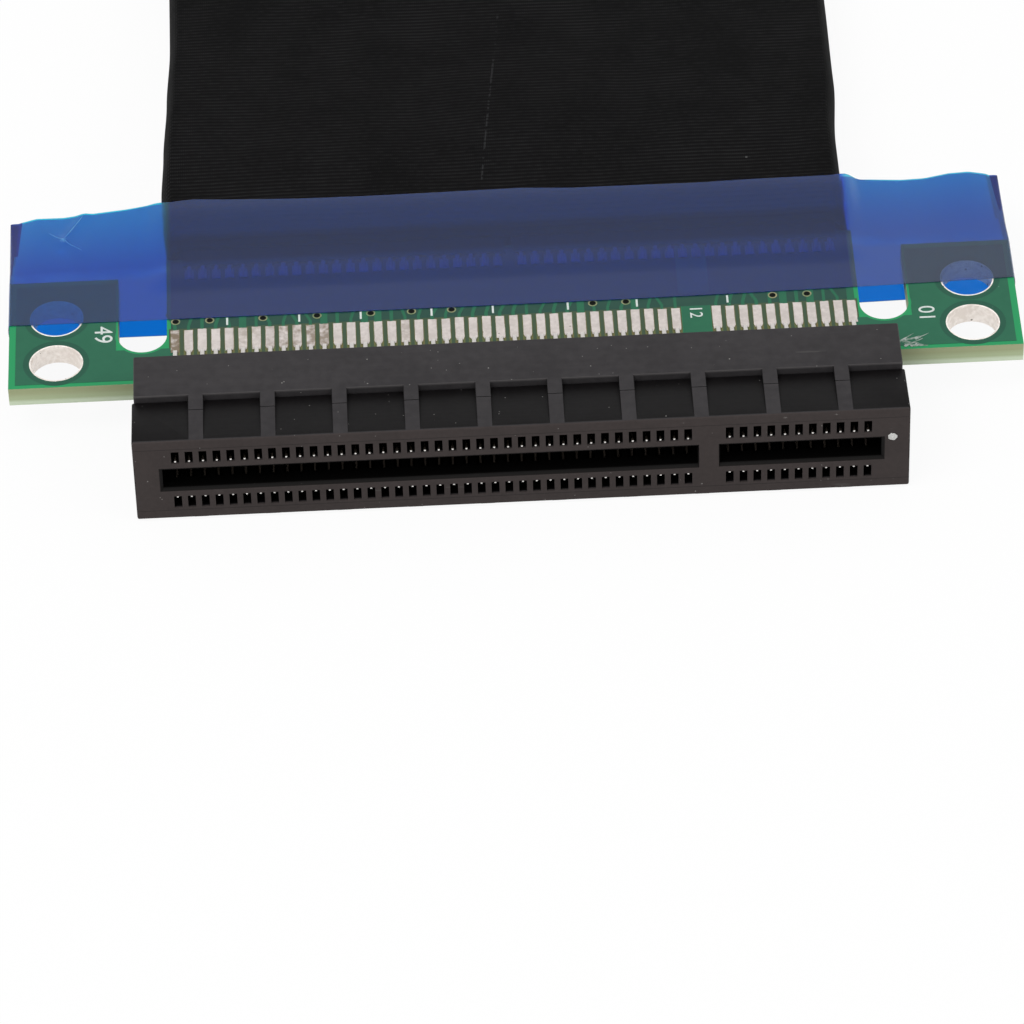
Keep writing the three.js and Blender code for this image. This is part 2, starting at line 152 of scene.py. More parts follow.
# %% World, floor and lamps
WORLD_STRENGTH = 0.62
FLOOR_SIZE, FLOOR_DEPTH = 4.0, 0.0002
FLOOR_GREY, FLOOR_GLOW = 0.9, 0.93
LAMP_SIZE = 0.5
LAMPS = (
    ("key_lamp", Vector((-0.35, -0.30, 0.75)), 3.2),
    ("fill_lamp", Vector((0.6, -0.2, 0.5)), 1.2),
)


def seen_directly(tree):
    """A value that is 1 for the rays that should meet plain white."""
    path = tree.nodes.new("ShaderNodeLightPath").outputs
    seen = maths("MAXIMUM", path["Is Camera Ray"], path["Is Glossy Ray"])
    return maths("MAXIMUM", seen, path["Is Transmission Ray"])


world = bpy.data.worlds.new("studio")
world.use_nodes = True
scene.world = world
sky = world.node_tree
background = sky.nodes["Background"]
background.inputs["Color"].default_value = (1, 1, 1, 1)
level = add_node(
    sky, "ShaderNodeMapRange", inputs={"To Min": WORLD_STRENGTH, "To Max": 1.0},
    links={"Value": seen_directly(sky)})
sky.links.new(level.outputs["Result"], background.inputs["Strength"])

bpy.ops.object.select_all(action="DESELECT")
bpy.ops.mesh.primitive_plane_add(size=FLOOR_SIZE, location=(0, 0, -FLOOR_DEPTH))
floor = bpy.context.object
floor.name = "floor"
white = bpy.data.materials.new("white_floor")
white.use_nodes = True
tree = white.node_tree
plain = tree.nodes["Principled BSDF"]
plain.inputs["Base Color"].default_value = (FLOOR_GREY, FLOOR_GREY, FLOOR_GREY, 1)
plain.inputs["Roughness"].default_value = 1
plain.inputs["Specular IOR Level"].default_value = 0
glow = tree.nodes.new("ShaderNodeEmission")
mix = add_node(tree, "ShaderNodeMixShader", links={
    0: maths("MULTIPLY", seen_directly(tree), FLOOR_GLOW), 1: plain.outputs[0], 2: glow.outputs[0]})
tree.links.new(mix.outputs[0], tree.nodes["Material Output"].inputs["Surface"])
floor.data.materials.append(white)

for name, place, watts in LAMPS:
    lamp_data = bpy.data.lights.new(name, "AREA")
    lamp_data.energy = watts
    lamp_data.size = LAMP_SIZE
    lamp = bpy.data.objects.new(name, lamp_data)
    lamp.location = place
    lamp.rotation_euler = (place - at(0, 10, 0)).to_track_quat("Z", "Y").to_euler()
    scene.collection.objects.link(lamp)

# %% [markdown]
# A few small helpers stand for what is done by hand again and again: add a block at its two
# corners, select only one object, apply a modifier, cut one piece with another, repeat a piece at
# a pitch, copy it to the board's other side, and seat the finished piece with its material.

# %% Modelling helpers


def select_only(piece):
    bpy.ops.object.select_all(action="DESELECT")
    piece.select_set(True)
    bpy.context.view_layer.objects.active = piece


def apply_modifier(piece, kind, **settings):
    """Adds one modifier, sets it and applies it at once."""
    modifier = piece.modifiers.new(kind, kind)
    for key, value in settings.items():
        setattr(modifier, key, value)
    select_only(piece)
    bpy.ops.object.modifier_apply(modifier=modifier.name)


def block(name, low, high):
    """A block between two corners, in millimetres at the slot."""
    low, high = Vector(low) * MM, Vector(high) * MM
    bpy.ops.object.select_all(action="DESELECT")
    bpy.ops.mesh.primitive_cube_add(size=1, location=(low + high) / 2, scale=high - low)
    bpy.ops.object.transform_apply(location=True, rotation=True, scale=True)
    bpy.context.object.name = name
    return bpy.context.object


def rod(name, place, radius, depth, sides=48):
    """An upright round rod about a place."""
    bpy.ops.object.select_all(action="DESELECT")
    bpy.ops.mesh.primitive_cylinder_add(
        vertices=sides, radius=radius * MM, depth=depth * MM, location=Vector(place) * MM)
    bpy.ops.object.transform_apply(location=True, rotation=True, scale=True)
    bpy.context.object.name = name
    return bpy.context.object


def soften(piece, width, segments=2, angle=30):
    apply_modifier(
        piece, "BEVEL", width=width * MM, segments=segments, limit_method="ANGLE",
        angle_limit=math.radians(angle))


def combine(piece, other, operation):
    """Joins, cuts or intersects a piece with another one, which is used up."""
    apply_modifier(piece, "BOOLEAN", operation=operation, object=other, solver="EXACT")
    bpy.data.objects.remove(other, do_unlink=True)


def join(pieces):
    """One object that holds all the pieces, each still a body of its own."""
    bpy.ops.object.select_all(action="DESELECT")
    for piece in pieces:
        piece.select_set(True)
    bpy.context.view_layer.objects.active = pieces[0]
    bpy.ops.object.join()
    return pieces[0]


def repeat(piece, count, step):
    """Copies along a line, in millimetres."""
    apply_modifier(
        piece, "ARRAY", count=count, use_relative_offset=False, use_constant_offset=True,
        constant_offset_displace=Vector(step) * MM)
    return piece


def copy_of(piece, name):
    twin = piece.copy()
    twin.data = piece.data.copy()
    twin.name = name
    scene.collection.objects.link(twin)
    return twin


def moved(piece, x, y=0.0, z=0.0):
    piece.data.transform(Matrix.Translation(Vector((x, y, z)) * MM))
    return piece


def underside_copy(piece, name, middle=0.0):
    """The same piece on the other side of a board, whose middle is at one height."""
    twin = copy_of(piece, name)
    twin.data.transform(Matrix.Diagonal((1, 1, -1, 1)))
    twin.data.flip_normals()
    return moved(twin, 0, 0, 2 * middle)


def side_block(name, side, inner, outer, front, back, half):
    """A block on the left (-1) or right (1), between two distances from the middle line."""
    low, high = sorted((side * inner, side * outer))
    return block(name, (low, front, -half), (high, back, half))


def edit_whole(piece, operator, **settings):
    """Runs one edit-mode operator on a whole mesh."""
    select_only(piece)
    bpy.ops.object.mode_set(mode="EDIT")
    bpy.ops.mesh.select_all(action="SELECT")
    operator(**settings)
    bpy.ops.object.mode_set(mode="OBJECT")


def mesh_object(name, points, faces):
    """An object from its points, in metres, and its faces."""
    mesh = bpy.data.meshes.new(name)
    mesh.from_pydata(points, [], faces)
    made = bpy.data.objects.new(name, mesh)
    scene.collection.objects.link(made)
    return made


def ring_faces(rings, count):
    """The faces of a tube made of rings that have the same count of points."""
    faces = []
    for i in range(rings - 1):
        for k in range(count):
            a, b = i * count + k, i * count + (k + 1) % count
            faces.append((a, b, b + count, a + count))
    return faces


def seat(piece, material, replaces=(), smooth=30):
    """Sets a finished piece in the frame, with its material and the body it rides on."""
    piece.data.transform(Matrix.Translation(MOUTH))
    kept = [polygon.material_index for polygon in piece.data.polygons]
    piece.data.materials.clear()
    finishes = material if isinstance(material, tuple) else (material,)
    for finish in finishes:
        piece.data.materials.append(finish)
    for polygon, index in zip(piece.data.polygons, kept):
        polygon.material_index = min(index, len(finishes) - 1)
    if smooth:
        select_only(piece)
        bpy.ops.object.shade_smooth_by_angle(angle=math.radians(smooth))
    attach(piece, "root")
    if replaces:
        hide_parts(*replaces)
    print(piece.name, len(piece.data.polygons), "faces")
    return piece


def seat_pair(upper, lower_name, material, smooth=30, middle=0.0):
    """Copies a piece to its board's other side and seats both."""
    for piece in (upper, underside_copy(upper, lower_name, middle)):
        seat(piece, material, smooth=smooth)


# %% [markdown]
# The effects that several finishes share are node groups. Mottle gives soft patches of two scales,
# Specks gives rare small spots as dust or pits do, and Brushing gives fine streaks along X.

# %% Shared effects


def effect_group(name, inputs):
    """A shader group with float inputs and one output named Value, its given values and its end."""
    group = bpy.data.node_groups.new(name, "ShaderNodeTree")
    group.interface.new_socket(name="Vector", in_out="INPUT", socket_type="NodeSocketVector")
    for label in inputs:
        group.interface.new_socket(name=label, in_out="INPUT", socket_type="NodeSocketFloat")
    group.interface.new_socket(name="Value", in_out="OUTPUT", socket_type="NodeSocketFloat")
    given = group.nodes.new("NodeGroupInput").outputs
    return group, given, group.nodes.new("NodeGroupOutput").inputs["Value"]


def noise(tree, vector, scale, detail):
    made = add_node(
        tree, "ShaderNodeTexNoise", inputs={"Detail": detail}, links={"Vector": vector, "Scale": scale})
    return made.outputs["Fac"]


def make_mottle():
    group, given, end = effect_group("Mottle", ("Scale", "Fine Scale", "Contrast"))
    large = noise(group, given["Vector"], given["Scale"], 4.0)
    fine = noise(group, given["Vector"], given["Fine Scale"], 3.0)
    centred = maths("SUBTRACT", maths("ADD", large, fine), 1.0)
    lifted = maths("ADD", maths("MULTIPLY", centred, given["Contrast"]), 0.5)
    lifted.node.use_clamp = True
    group.links.new(lifted, end)
    return group


def make_specks():
    group, given, end = effect_group("Specks", ("Scale", "Size", "Share"))
    cells = add_node(
        group, "ShaderNodeTexVoronoi", links={"Vector": given["Vector"], "Scale": given["Scale"]})
    parts = add_node(group, "ShaderNodeSeparateColor", links={"Color": cells.outputs["Color"]})
    near = maths("LESS_THAN", cells.outputs["Distance"], given["Size"])
    chosen = maths("LESS_THAN", parts.outputs["Red"], given["Share"])
    group.links.new(product(near, chosen), end)
    return group


def make_brushing():
    group, given, end = effect_group("Brushing", ("Scale", "Stretch"))
    scale = add_node(
        group, "ShaderNodeCombineXYZ", inputs={"Y": 1.0, "Z": 1.0}, links={"X": given["Stretch"]})
    stretched = add_node(
        group, "ShaderNodeVectorMath", {"operation": "MULTIPLY"},
        links={0: given["Vector"], 1: scale.outputs["Vector"]})
    group.links.new(noise(group, stretched.outputs["Vector"], given["Scale"], 3.0), end)
    return group


MOTTLE = make_mottle()
SPECKS = make_specks()
BRUSHING = make_brushing()


class Finish:
    """A material with its Principled shader, and short ways to add to it."""

    def __init__(self, name, color, roughness, **values):
        self.material = bpy.data.materials.new(name)
        self.material.use_nodes = True
        self.tree = self.material.node_tree
        self.shader = self.tree.nodes["Principled BSDF"]
        self.place = self.tree.nodes.new("ShaderNodeTexCoord").outputs["Object"]
        self.shader.inputs["Base Color"].default_value = (*color, 1)
        self.shader.inputs["Roughness"].default_value = roughness
        for key, value in values.items():
            self.shader.inputs[key.replace("_", " ")].default_value = value

    def effect(self, group, values):
        made = add_node(
            self.tree, "ShaderNodeGroup", {"node_tree": group}, values, {"Vector": self.place})
        return made.outputs["Value"]

    def mottle(self, scale, fine_scale, contrast=1.6):
        return self.effect(MOTTLE, {"Scale": scale, "Fine Scale": fine_scale, "Contrast": contrast})

    def specks(self, scale, size, share):
        return self.effect(SPECKS, {"Scale": scale, "Size": size, "Share": share})

    def brushing(self, scale, stretch):
        return self.effect(BRUSHING, {"Scale": scale, "Stretch": stretch})

    def along(self, axis):
        """The object's own place along one axis, in metres."""
        return add_node(self.tree, "ShaderNodeSeparateXYZ", links={"Vector": self.place}).outputs[axis]

    def ramp(self, value, low, high):
        """A mask that goes from 0 to 1 as a value goes from low to high."""
        ranged = add_node(
            self.tree, "ShaderNodeMapRange", inputs={"From Min": low, "From Max": high},
            links={"Value": value})
        return ranged.outputs["Result"]

    def after(self, axis, low, high):
        """A mask that is 1 past a place, eased from low to high in millimetres at the slot."""
        zero = MOUTH["XYZ".index(axis)]
        return self.ramp(self.along(axis), zero + low * MM, zero + high * MM)

    def before(self, axis, low, high):
        return inverse(self.after(axis, low, high))

    def tint(self, mask, color, amount=1.0):
        """Blends the colour towards another where the mask is high."""
        target = self.shader.inputs["Base Color"]
        mixed = add_node(
            self.tree, "ShaderNodeMix", {"data_type": "RGBA"},
            {"A": tuple(target.default_value), "B": (*color, 1)},
            {"Factor": maths("MULTIPLY", mask, amount)})
        if target.links:
            self.tree.links.new(target.links[0].from_socket, mixed.inputs["A"])
        self.tree.links.new(mixed.outputs["Result"], target)

    def roughness_range(self, mask, low, high):
        ranged = add_node(
            self.tree, "ShaderNodeMapRange", inputs={"To Min": low, "To Max": high},
            links={"Value": mask})
        self.tree.links.new(ranged.outputs["Result"], self.shader.inputs["Roughness"])

    def bump(self, height, distance, strength):
        """Adds relief. Distance is in millimetres."""
        made = add_node(
            self.tree, "ShaderNodeBump",
            inputs={"Distance": distance * MM, "Strength": strength}, links={"Height": height})
        self.tree.links.new(made.outputs["Normal"], self.shader.inputs["Normal"])


def mottled(name, color, roughness, pattern, patch_color, amount, **values):
    """A plain material with soft patches of a second colour."""
    finish = Finish(name, color, roughness, **values)
    finish.tint(finish.mottle(*pattern), patch_color, amount)
    return finish.material


# %% [markdown]
# The cable is one flat fabric sleeve, about 51 mm wide and 5 mm thick. It leaves the tape level
# with the board and settles to the floor. Its mesh is made ring by ring along that line, because a
# flat tube with soft folds is quicker to shape by a formula than by hand. The weave is a finish.

# %% Cable sleeve
SLEEVE_START, SLEEVE_BACK = 23.9, 335.4
SLEEVE_LEVEL_TO, SLEEVE_DROP = 30.4, 22.0
sleeve_low, sleeve_high = (Vector(corner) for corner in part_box("cable_sleeve"))
SLEEVE_HALF_WIDTH = (sleeve_high.x - sleeve_low.x) / 2 / MM
SLEEVE_HALF_HEIGHT, SLEEVE_THICKNESS = 2.5, 0.35
REST_DROP = (sleeve_low.z - MOUTH.z) / MM + SLEEVE_HALF_HEIGHT
LEFT_EDGE = (
    (23.9, -25.6), (27.0, -25.85), (31.0, -26.0), (36.0, -25.85), (43.0, -25.6), (50.0, -25.35),
    (90.0, -25.6),
)
RIGHT_EDGE = (
    (23.9, 25.4), (29.0, 25.35), (34.0, 25.35), (42.0, 25.8), (52.0, 25.9), (70.0, 25.9),
    (100.0, 25.6),
)
HEIGHT_LINE = ((23.9, 1.5), (27.2, SLEEVE_HALF_HEIGHT), (400.0, SLEEVE_HALF_HEIGHT))
SIDE_RADIUS = 1.7
SIDE_STEPS, FLAT_STEPS = 14, 60
NEAR_STEP, FAR_STEP, NEAR_STRETCH = 0.5, 3.0, 50.0
FOLDS_START, FOLDS_END, PUFF_LIMIT = (27.5, 36.0), (1.0, 9.0), 0.1


def smooth_step(value, low, high):
    share = min(max((value - low) / (high - low), 0.0), 1.0)
    return share * share * (3 - 2 * share)


def along_line(line, place):
    """The value at a place on a line of (place, value) points, eased between them."""
    for (low, low_value), (high, high_value) in zip(line, line[1:]):
        if place <= high:
            return low_value + (high_value - low_value) * smooth_step(place, low, high)
    return line[-1][1]


def cable_middle(y):
    """Height of the cable's middle, in millimetres at the slot."""
    return REST_DROP * smooth_step(y, SLEEVE_LEVEL_TO, SLEEVE_LEVEL_TO + SLEEVE_DROP)


def sleeve_section():
    """Even points round the sleeve, from -1 to 1 both ways: flat faces and softly squared sides."""
    flat = 1 - SIDE_RADIUS / SLEEVE_HALF_WIDTH
    points = []
    for side in (1, -1):
        for i in range(FLAT_STEPS):
            points.append((side * flat * (2 * i / FLAT_STEPS - 1), side))
        for i in range(SIDE_STEPS):
            angle = math.pi * (0.5 - (i + 0.5) / SIDE_STEPS)
            upright = min(abs(math.sin(angle)) * 1.2, 1.0)
            points.append((
                side * (flat + (1 - flat) * math.cos(angle)),
                side * math.copysign(upright, math.sin(angle))))
    return points


def fold(x, y):
    """Soft folds on the cable's faces, in millimetres."""
    wide = 0.13 * math.sin(0.16 * x + 0.11 * y + 0.7) * math.sin(0.045 * y - 0.08 * x)
    slant = 0.11 * math.sin(0.21 * (x - 0.55 * y) + 1.9)
    return wide + slant


def sleeve_rings():
    """The places of the rings along the cable, closer together near the slot."""
    places = []
    y = SLEEVE_START
    while y < SLEEVE_BACK:
        places.append(y)
        y += NEAR_STEP if y < SLEEVE_START + NEAR_STRETCH else FAR_STEP
    return [*places, SLEEVE_BACK]


def sleeve_points(places, section):
    points = []
    for y in places:
        left, right = along_line(LEFT_EDGE, y), along_line(RIGHT_EDGE, y)
        height = along_line(HEIGHT_LINE, y)
        free = smooth_step(y, *FOLDS_START) * smooth_step(SLEEVE_BACK - y, *FOLDS_END)
        for across, upright in section:
            x = (left + right) / 2 + across * (right - left) / 2
            puff = fold(x, y) * free * abs(upright)
            outward = min(puff, PUFF_LIMIT) if upright > 0 else -abs(puff)
            z = upright * height + math.copysign(outward, upright) * abs(upright)
            points.append(at(x, y, cable_middle(y) + z))
    return points


rings, section = sleeve_rings(), sleeve_section()
sleeve = mesh_object(
    "fabric_sleeve", sleeve_points(rings, section), ring_faces(len(rings), len(section)))
apply_modifier(sleeve, "SOLIDIFY", thickness=SLEEVE_THICKNESS * MM, offset=-1)
select_only(sleeve)
bpy.ops.object.shade_smooth()
print("sleeve rings:", len(rings))

# %% [markdown]
# The fabric is black with fine ribs across the cable, about 0.4 mm apart, each a row of tiny
# stitches. Both follow the object's own X and Y, so they stay in place from every side.

# %% Black fabric
RIB_PITCH, STITCH_PITCH = 0.40, 0.16
SWAY_SCALE, RIB_SWAY, STITCH_SWAY = 120.0, 0.5, 0.12
SEAM_X, SEAM_Y, SEAM_LEAN, SEAM_WIDTH = 0.5, 52.5, 0.097, 0.07


def wave_along(finish, axis, pitch, sway):
    """A smooth wave from 0 to 1 along one axis. Its pitch and its sway are in millimetres."""
    swaying = add_node(
        finish.tree, "ShaderNodeTexNoise", inputs={"Scale": SWAY_SCALE, "Detail": 2.0},
        links={"Vector": finish.place})
    place = maths("ADD", finish.along(axis), product(swaying.outputs["Fac"], sway * MM))
    wave = maths("SINE", product(place, 2 * math.pi / (pitch * MM)))
    return maths("ADD", product(wave, 0.5), 0.5)


def seam_line(finish):
    """A faint broken line along the cable, a little aslant."""
    start = at(SEAM_X, SEAM_Y, 0)
    leant = product(maths("SUBTRACT", finish.along("Y"), start.y), SEAM_LEAN)
    off = maths("SUBTRACT", maths("SUBTRACT", finish.along("X"), start.x), leant)
    line = maths("LESS_THAN", maths("ABSOLUTE", off), SEAM_WIDTH * MM)
    return product(line, maths("GREATER_THAN", finish.mottle(500, 3000, 4.0), 0.6))


def black_fabric():
    finish = Finish("black_ribbed_fabric", (0.0032, 0.0032, 0.0034), 0.8, Specular_IOR_Level=0.05)
    rib = wave_along(finish, "Y", RIB_PITCH, RIB_SWAY)
    stitch = wave_along(finish, "X", STITCH_PITCH, STITCH_SWAY)
    dots = maths("POWER", product(rib, stitch), 2.2)
    finish.tint(rib, (0.0052, 0.0052, 0.0054), 0.6)
    finish.tint(product(dots, finish.mottle(240, 2600, 2.2)), (0.052, 0.052, 0.053), 0.8)
    finish.tint(finish.mottle(55, 700, 1.4), (0.0028, 0.0028, 0.003), 0.4)
    finish.tint(finish.specks(330, 0.035, 0.06), (0.14, 0.14, 0.14), 0.6)
    finish.tint(seam_line(finish), (0.04, 0.04, 0.042), 0.5)
    finish.bump(product(rib, maths("ADD", product(stitch, 0.5), 0.5)), 0.08, 0.45)
    return finish.material


sleeve.data.materials.append(black_fabric())
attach(sleeve, "root")
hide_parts("cable_sleeve")

# %% [markdown]
# The slot's housing is one moulding. It starts as three plain blocks and ten ribs, bevelled and
# joined, so that the pockets along its long sides are what is left between the ribs.

# %% Slot housing: outer form
HALF_LENGTH, HALF_HEIGHT = 28.05, 3.75
FRONT_DEPTH, DEPTH = 5.0, 9.4
POCKET_DEPTH, REAR_INSET = 0.57, 0.15
CORE_FRONT, CORE_HALF_HEIGHT, CORE_INSET = 2.0, 3.05, 0.2
RIB_WIDTH, RIB_SPACING, RIB_COUNT = 1.13, 5.2, 10
RIB_FRONT, RIB_OVERLAP, RIB_INSET = 0.03, 0.6, 0.01
FRONT_BEVEL, REAR_BEVEL, RIB_BEVEL = 0.14, 0.13, 0.07
SEAM_FRONT, SEAM_BACK, SEAM_DEPTH = 3.32, 3.38, 0.06

front = block("front_block", (-HALF_LENGTH, 0, -HALF_HEIGHT), (HALF_LENGTH, FRONT_DEPTH, HALF_HEIGHT))
low_half = HALF_HEIGHT - POCKET_DEPTH
for vertex in front.data.vertices:
    if vertex.co.y > FRONT_DEPTH * MM / 2:
        vertex.co.z *= low_half / HALF_HEIGHT
soften(front, FRONT_BEVEL, 3)
rear_half = HALF_LENGTH - REAR_INSET
rear = block("rear_block", (-rear_half, FRONT_DEPTH, -HALF_HEIGHT), (rear_half, DEPTH, HALF_HEIGHT))
soften(rear, REAR_BEVEL, 3)
core = block(
    "core_block", (-rear_half + CORE_INSET, CORE_FRONT, -CORE_HALF_HEIGHT),
    (rear_half - CORE_INSET, DEPTH - 0.3, CORE_HALF_HEIGHT))
rib_x = -RIB_SPACING * (RIB_COUNT - 1) / 2
ribs = block(
    "ribs", (rib_x - RIB_WIDTH / 2, RIB_FRONT, -HALF_HEIGHT + RIB_INSET),
    (rib_x + RIB_WIDTH / 2, FRONT_DEPTH + RIB_OVERLAP, HALF_HEIGHT - RIB_INSET))
soften(ribs, RIB_BEVEL, 2)
repeat(ribs, RIB_COUNT, (RIB_SPACING, 0, 0))
for other in (rear, core, ribs):
    combine(front, other, "UNION")
housing = front
housing.name = "slot_body"
for side in (1, -1):
    low, high = sorted((side * (HALF_HEIGHT - SEAM_DEPTH), side * (HALF_HEIGHT + 0.5)))
    seam = block("seam", (-29, SEAM_FRONT, low), (29, SEAM_BACK, high))
    combine(housing, seam, "DIFFERENCE")
print("housing faces before the slot:", len(housing.data.polygons))

# %% [markdown]
# The card goes into a long slot with a key bar across it. Its mouth is chamfered, so each cutter
# is a block with a wider frustum in front. The windows above and below the slot show the ends of
# the spring contacts: one window and the cavity behind it are made once and repeated.

# %% Slot housing: slot, windows and cavities
CONTACT_PITCH, LONG_BANK, SHORT_BANK = 1.0, 38, 11
FIRST_CONTACT, SHORT_START = -25.0, 15.0
SLOT_HALF, SLOT_DEPTH = 0.875, 7.8
MOUTH_CHAMFER, CHAMFER_DEPTH = 0.34, 0.2
WINDOW_LOW, WINDOW_HIGH, WINDOW_WIDTH, WINDOW_DEPTH = 1.6, 2.7, 0.57, 1.5
CAVITY_FRONT, CAVITY_LOW = 1.3, 0.4
MOULD_LINE_Z, MOULD_LINE_HALF = 2.95, 0.03
BANK_ENDS = ((-26.0, 12.7, 0.3, 0.1), (14.3, 26.0, 0.1, 0.3))


def slot_cutter(low_x, high_x, low_chamfer, high_chamfer):
    inner = block("inner", (low_x, -1, -SLOT_HALF), (high_x, SLOT_DEPTH, SLOT_HALF))
    mouth = block("mouth", (low_x, 0, -SLOT_HALF), (high_x, CHAMFER_DEPTH, SLOT_HALF))
    middle_x = (low_x + high_x) / 2 * MM
    for vertex in mouth.data.vertices:
        if vertex.co.y < CHAMFER_DEPTH * MM / 2:
            vertex.co.x += (high_chamfer if vertex.co.x > middle_x else -low_chamfer) * MM
            vertex.co.z += math.copysign(MOUTH_CHAMFER * MM, vertex.co.z)
            vertex.co.x += math.copysign(0.02 * MM, vertex.co.x - middle_x)
            vertex.co.y -= 0.05 * MM
    combine(inner, mouth, "UNION")
    return inner


def window_cutter(name, start, count):
    half = WINDOW_WIDTH / 2
    window = block(name, (start - half, -1, WINDOW_LOW), (start + half, WINDOW_DEPTH, WINDOW_HIGH))
    cavity = block(
        "cavity", (start - half, CAVITY_FRONT, CAVITY_LOW),
        (start + half, SLOT_DEPTH - 0.3, WINDOW_HIGH - 0.02))
    combine(window, cavity, "UNION")
    return repeat(window, count, (CONTACT_PITCH, 0, 0))


for ends in BANK_ENDS:
    combine(housing, slot_cutter(*ends), "DIFFERENCE")
windows = join([
    window_cutter("windows", FIRST_CONTACT, LONG_BANK),
    window_cutter("short_windows", SHORT_START, SHORT_BANK),
])
for cutter in (windows, underside_copy(windows, "lower_windows")):
    combine(housing, cutter, "DIFFERENCE")
print("housing faces with its windows:", len(housing.data.polygons))

# %% [markdown]
# The plastic is a dark grey that looks black. It has fine streaks along its length, a few light
# specks and scratches, and the pockets are smoother than the rest and darker by painted shade.
# A painted highlight runs along the ledge behind the pockets, and the slot's mouth and the deep
# inside of slot and windows are darkened by painted shade. The pockets are found by their place:
# they lie lower than the outer faces.

# %% Moulded plastic


def moulded_plastic():
    finish = Finish("moulded_plastic", (0.039, 0.0365, 0.0385), 0.5, Specular_IOR_Level=0.07)
    streaks = finish.brushing(2600, 0.05)
    finish.tint(streaks, (0.062, 0.058, 0.060), 0.5)
    finish.tint(finish.mottle(170, 1500, 2.4), (0.024, 0.0225, 0.024), 0.45)
    front_face = finish.before("Y", 0.06, 0.14)
    grain = finish.mottle(420, 2400, 1.6)
    finish.tint(front_face, (0.052, 0.0425, 0.041))
    finish.tint(product(front_face, grain), (0.036, 0.030, 0.029), 0.6)
    off_middle = maths("ABSOLUTE", maths("SUBTRACT", finish.along("Z"), MOUTH.z))

    def within(half):
        """A mask of what lies closer than this to the housing's middle height."""
        return maths("LESS_THAN", off_middle, half * MM)

    off_line = maths("ABSOLUTE", maths("SUBTRACT", off_middle, MOULD_LINE_Z * MM))
    mould_line = maths("LESS_THAN", off_line, MOULD_LINE_HALF * MM)
    finish.tint(product(mould_line, front_face), (0.018, 0.016, 0.016), 0.6)
    below_top = finish.ramp(off_middle, (HALF_HEIGHT - 0.015) * MM, (HALF_HEIGHT - 0.03) * MM)
    pocket = product(
        below_top, finish.after("Y", 0.12, 0.18),
        finish.before("Y", FRONT_DEPTH - 0.06, FRONT_DEPTH - 0.03))
    # Painted shade: the pockets are made darker than the outer faces, besides being smoother.
    finish.tint(pocket, (0.0040, 0.0035, 0.0038))
    finish.tint(product(pocket, grain), (0.0085, 0.0077, 0.008), 0.5)
    # Painted highlight: a light line along the top edge of the ledge behind the pockets, where the edge
    # catches light.
    low_rim = product(
        within(HALF_HEIGHT - 0.02), maths("GREATER_THAN", off_middle, (HALF_HEIGHT - 0.16) * MM))
    ledge_highlight = product(low_rim, finish.after("Y", FRONT_DEPTH - 0.03, FRONT_DEPTH))
    finish.tint(ledge_highlight, (0.085, 0.080, 0.080), 0.6)
    scuffs = maths("GREATER_THAN", finish.brushing(1500, 0.12), 0.74)
    finish.tint(scuffs, (0.11, 0.105, 0.10), 0.25)
    for scale, size, share, amount in (
            (800, 0.045, 0.45, 0.45), (1900, 0.08, 0.18, 0.35), (300, 0.02, 0.7, 0.7)):
        finish.tint(finish.specks(scale, size, share), (0.42, 0.41, 0.39), amount)
    # Painted shade: the slot's mouth and its chamfer are made near black.
    mouth_shade = product(finish.after("Y", 0.01, 0.04), within(SLOT_HALF + MOUTH_CHAMFER + 0.02))
    finish.tint(mouth_shade, (0.006, 0.0055, 0.0053), 0.92)
    # Painted shade: deep inside the slot and the windows the plastic is made black.
    inside = product(finish.after("Y", 0.2, 0.35), within(WINDOW_HIGH + 0.02))
    finish.tint(inside, (0.0015, 0.0014, 0.0014))
    finish.roughness_range(pocket, 0.55, 0.42)
    finish.bump(streaks, 0.02, 0.4)
    return finish.material


seat(housing, moulded_plastic(), replaces=("slot_housing",))

# %% [markdown]
# Each of the 98 contacts is a thin bent strip: a tail on its pad, a rise through the housing's
# floor, a bow that would press on the card, and a tip that shows in its window. One strip is
# drawn by extruding an edge from point to point, given its thickness, and repeated.

# %% Spring contacts
CONTACT_LINE = (
    (13.1, 0.86), (12.6, 0.95), (11.6, 1.3), (10.0, 1.5), (8.6, 1.5), (7.9, 1.7), (7.2, 1.98), (6.3, 2.05),
    (5.3, 1.62), (4.4, 1.05), (3.7, 0.76), (3.1, 0.66), (2.5, 0.74), (1.9, 1.04), (1.3, 1.4),
    (0.75, 1.63), (0.35, 1.71), (0.05, 1.72),
)
STRIP_WIDTH, STRIP_THICKNESS = 0.32, 0.14
FRONT_WIDTH, FRONT_FROM = 0.17, 4.0


def bent_strip(name, line, width, front_width):
    """A strip that follows a line of (y, z) points, narrower towards its tip."""
    bpy.ops.object.select_all(action="DESELECT")
    bpy.ops.mesh.primitive_plane_add(size=1)
    strip = bpy.context.object
    strip.name = name
    (first_y, first_z), (second_y, second_z) = line[:2]
    for vertex in strip.data.vertices:
        y, z = (first_y, first_z) if vertex.co.y > 0 else (second_y, second_z)
        vertex.co = Vector((math.copysign(width / 2, vertex.co.x), y, z)) * MM
    for before, after in zip(line[1:], line[2:]):
        for edge in strip.data.edges:
            edge.select = all(
                abs(strip.data.vertices[i].co.y - before[0] * MM) < 1e-7 for i in edge.vertices)
        for vertex in strip.data.vertices:
            vertex.select = abs(vertex.co.y - before[0] * MM) < 1e-7
        for polygon in strip.data.polygons:
            polygon.select = False
        step = Vector((0, after[0] - before[0], after[1] - before[1])) * MM
        bpy.ops.object.mode_set(mode="EDIT")
        bpy.ops.mesh.select_mode(type="EDGE")
        bpy.ops.mesh.extrude_edges_move(TRANSFORM_OT_translate={"value": step})
        bpy.ops.object.mode_set(mode="OBJECT")
    for vertex in strip.data.vertices:
        if vertex.co.y < FRONT_FROM * MM:
            vertex.co.x *= front_width / width
    return strip


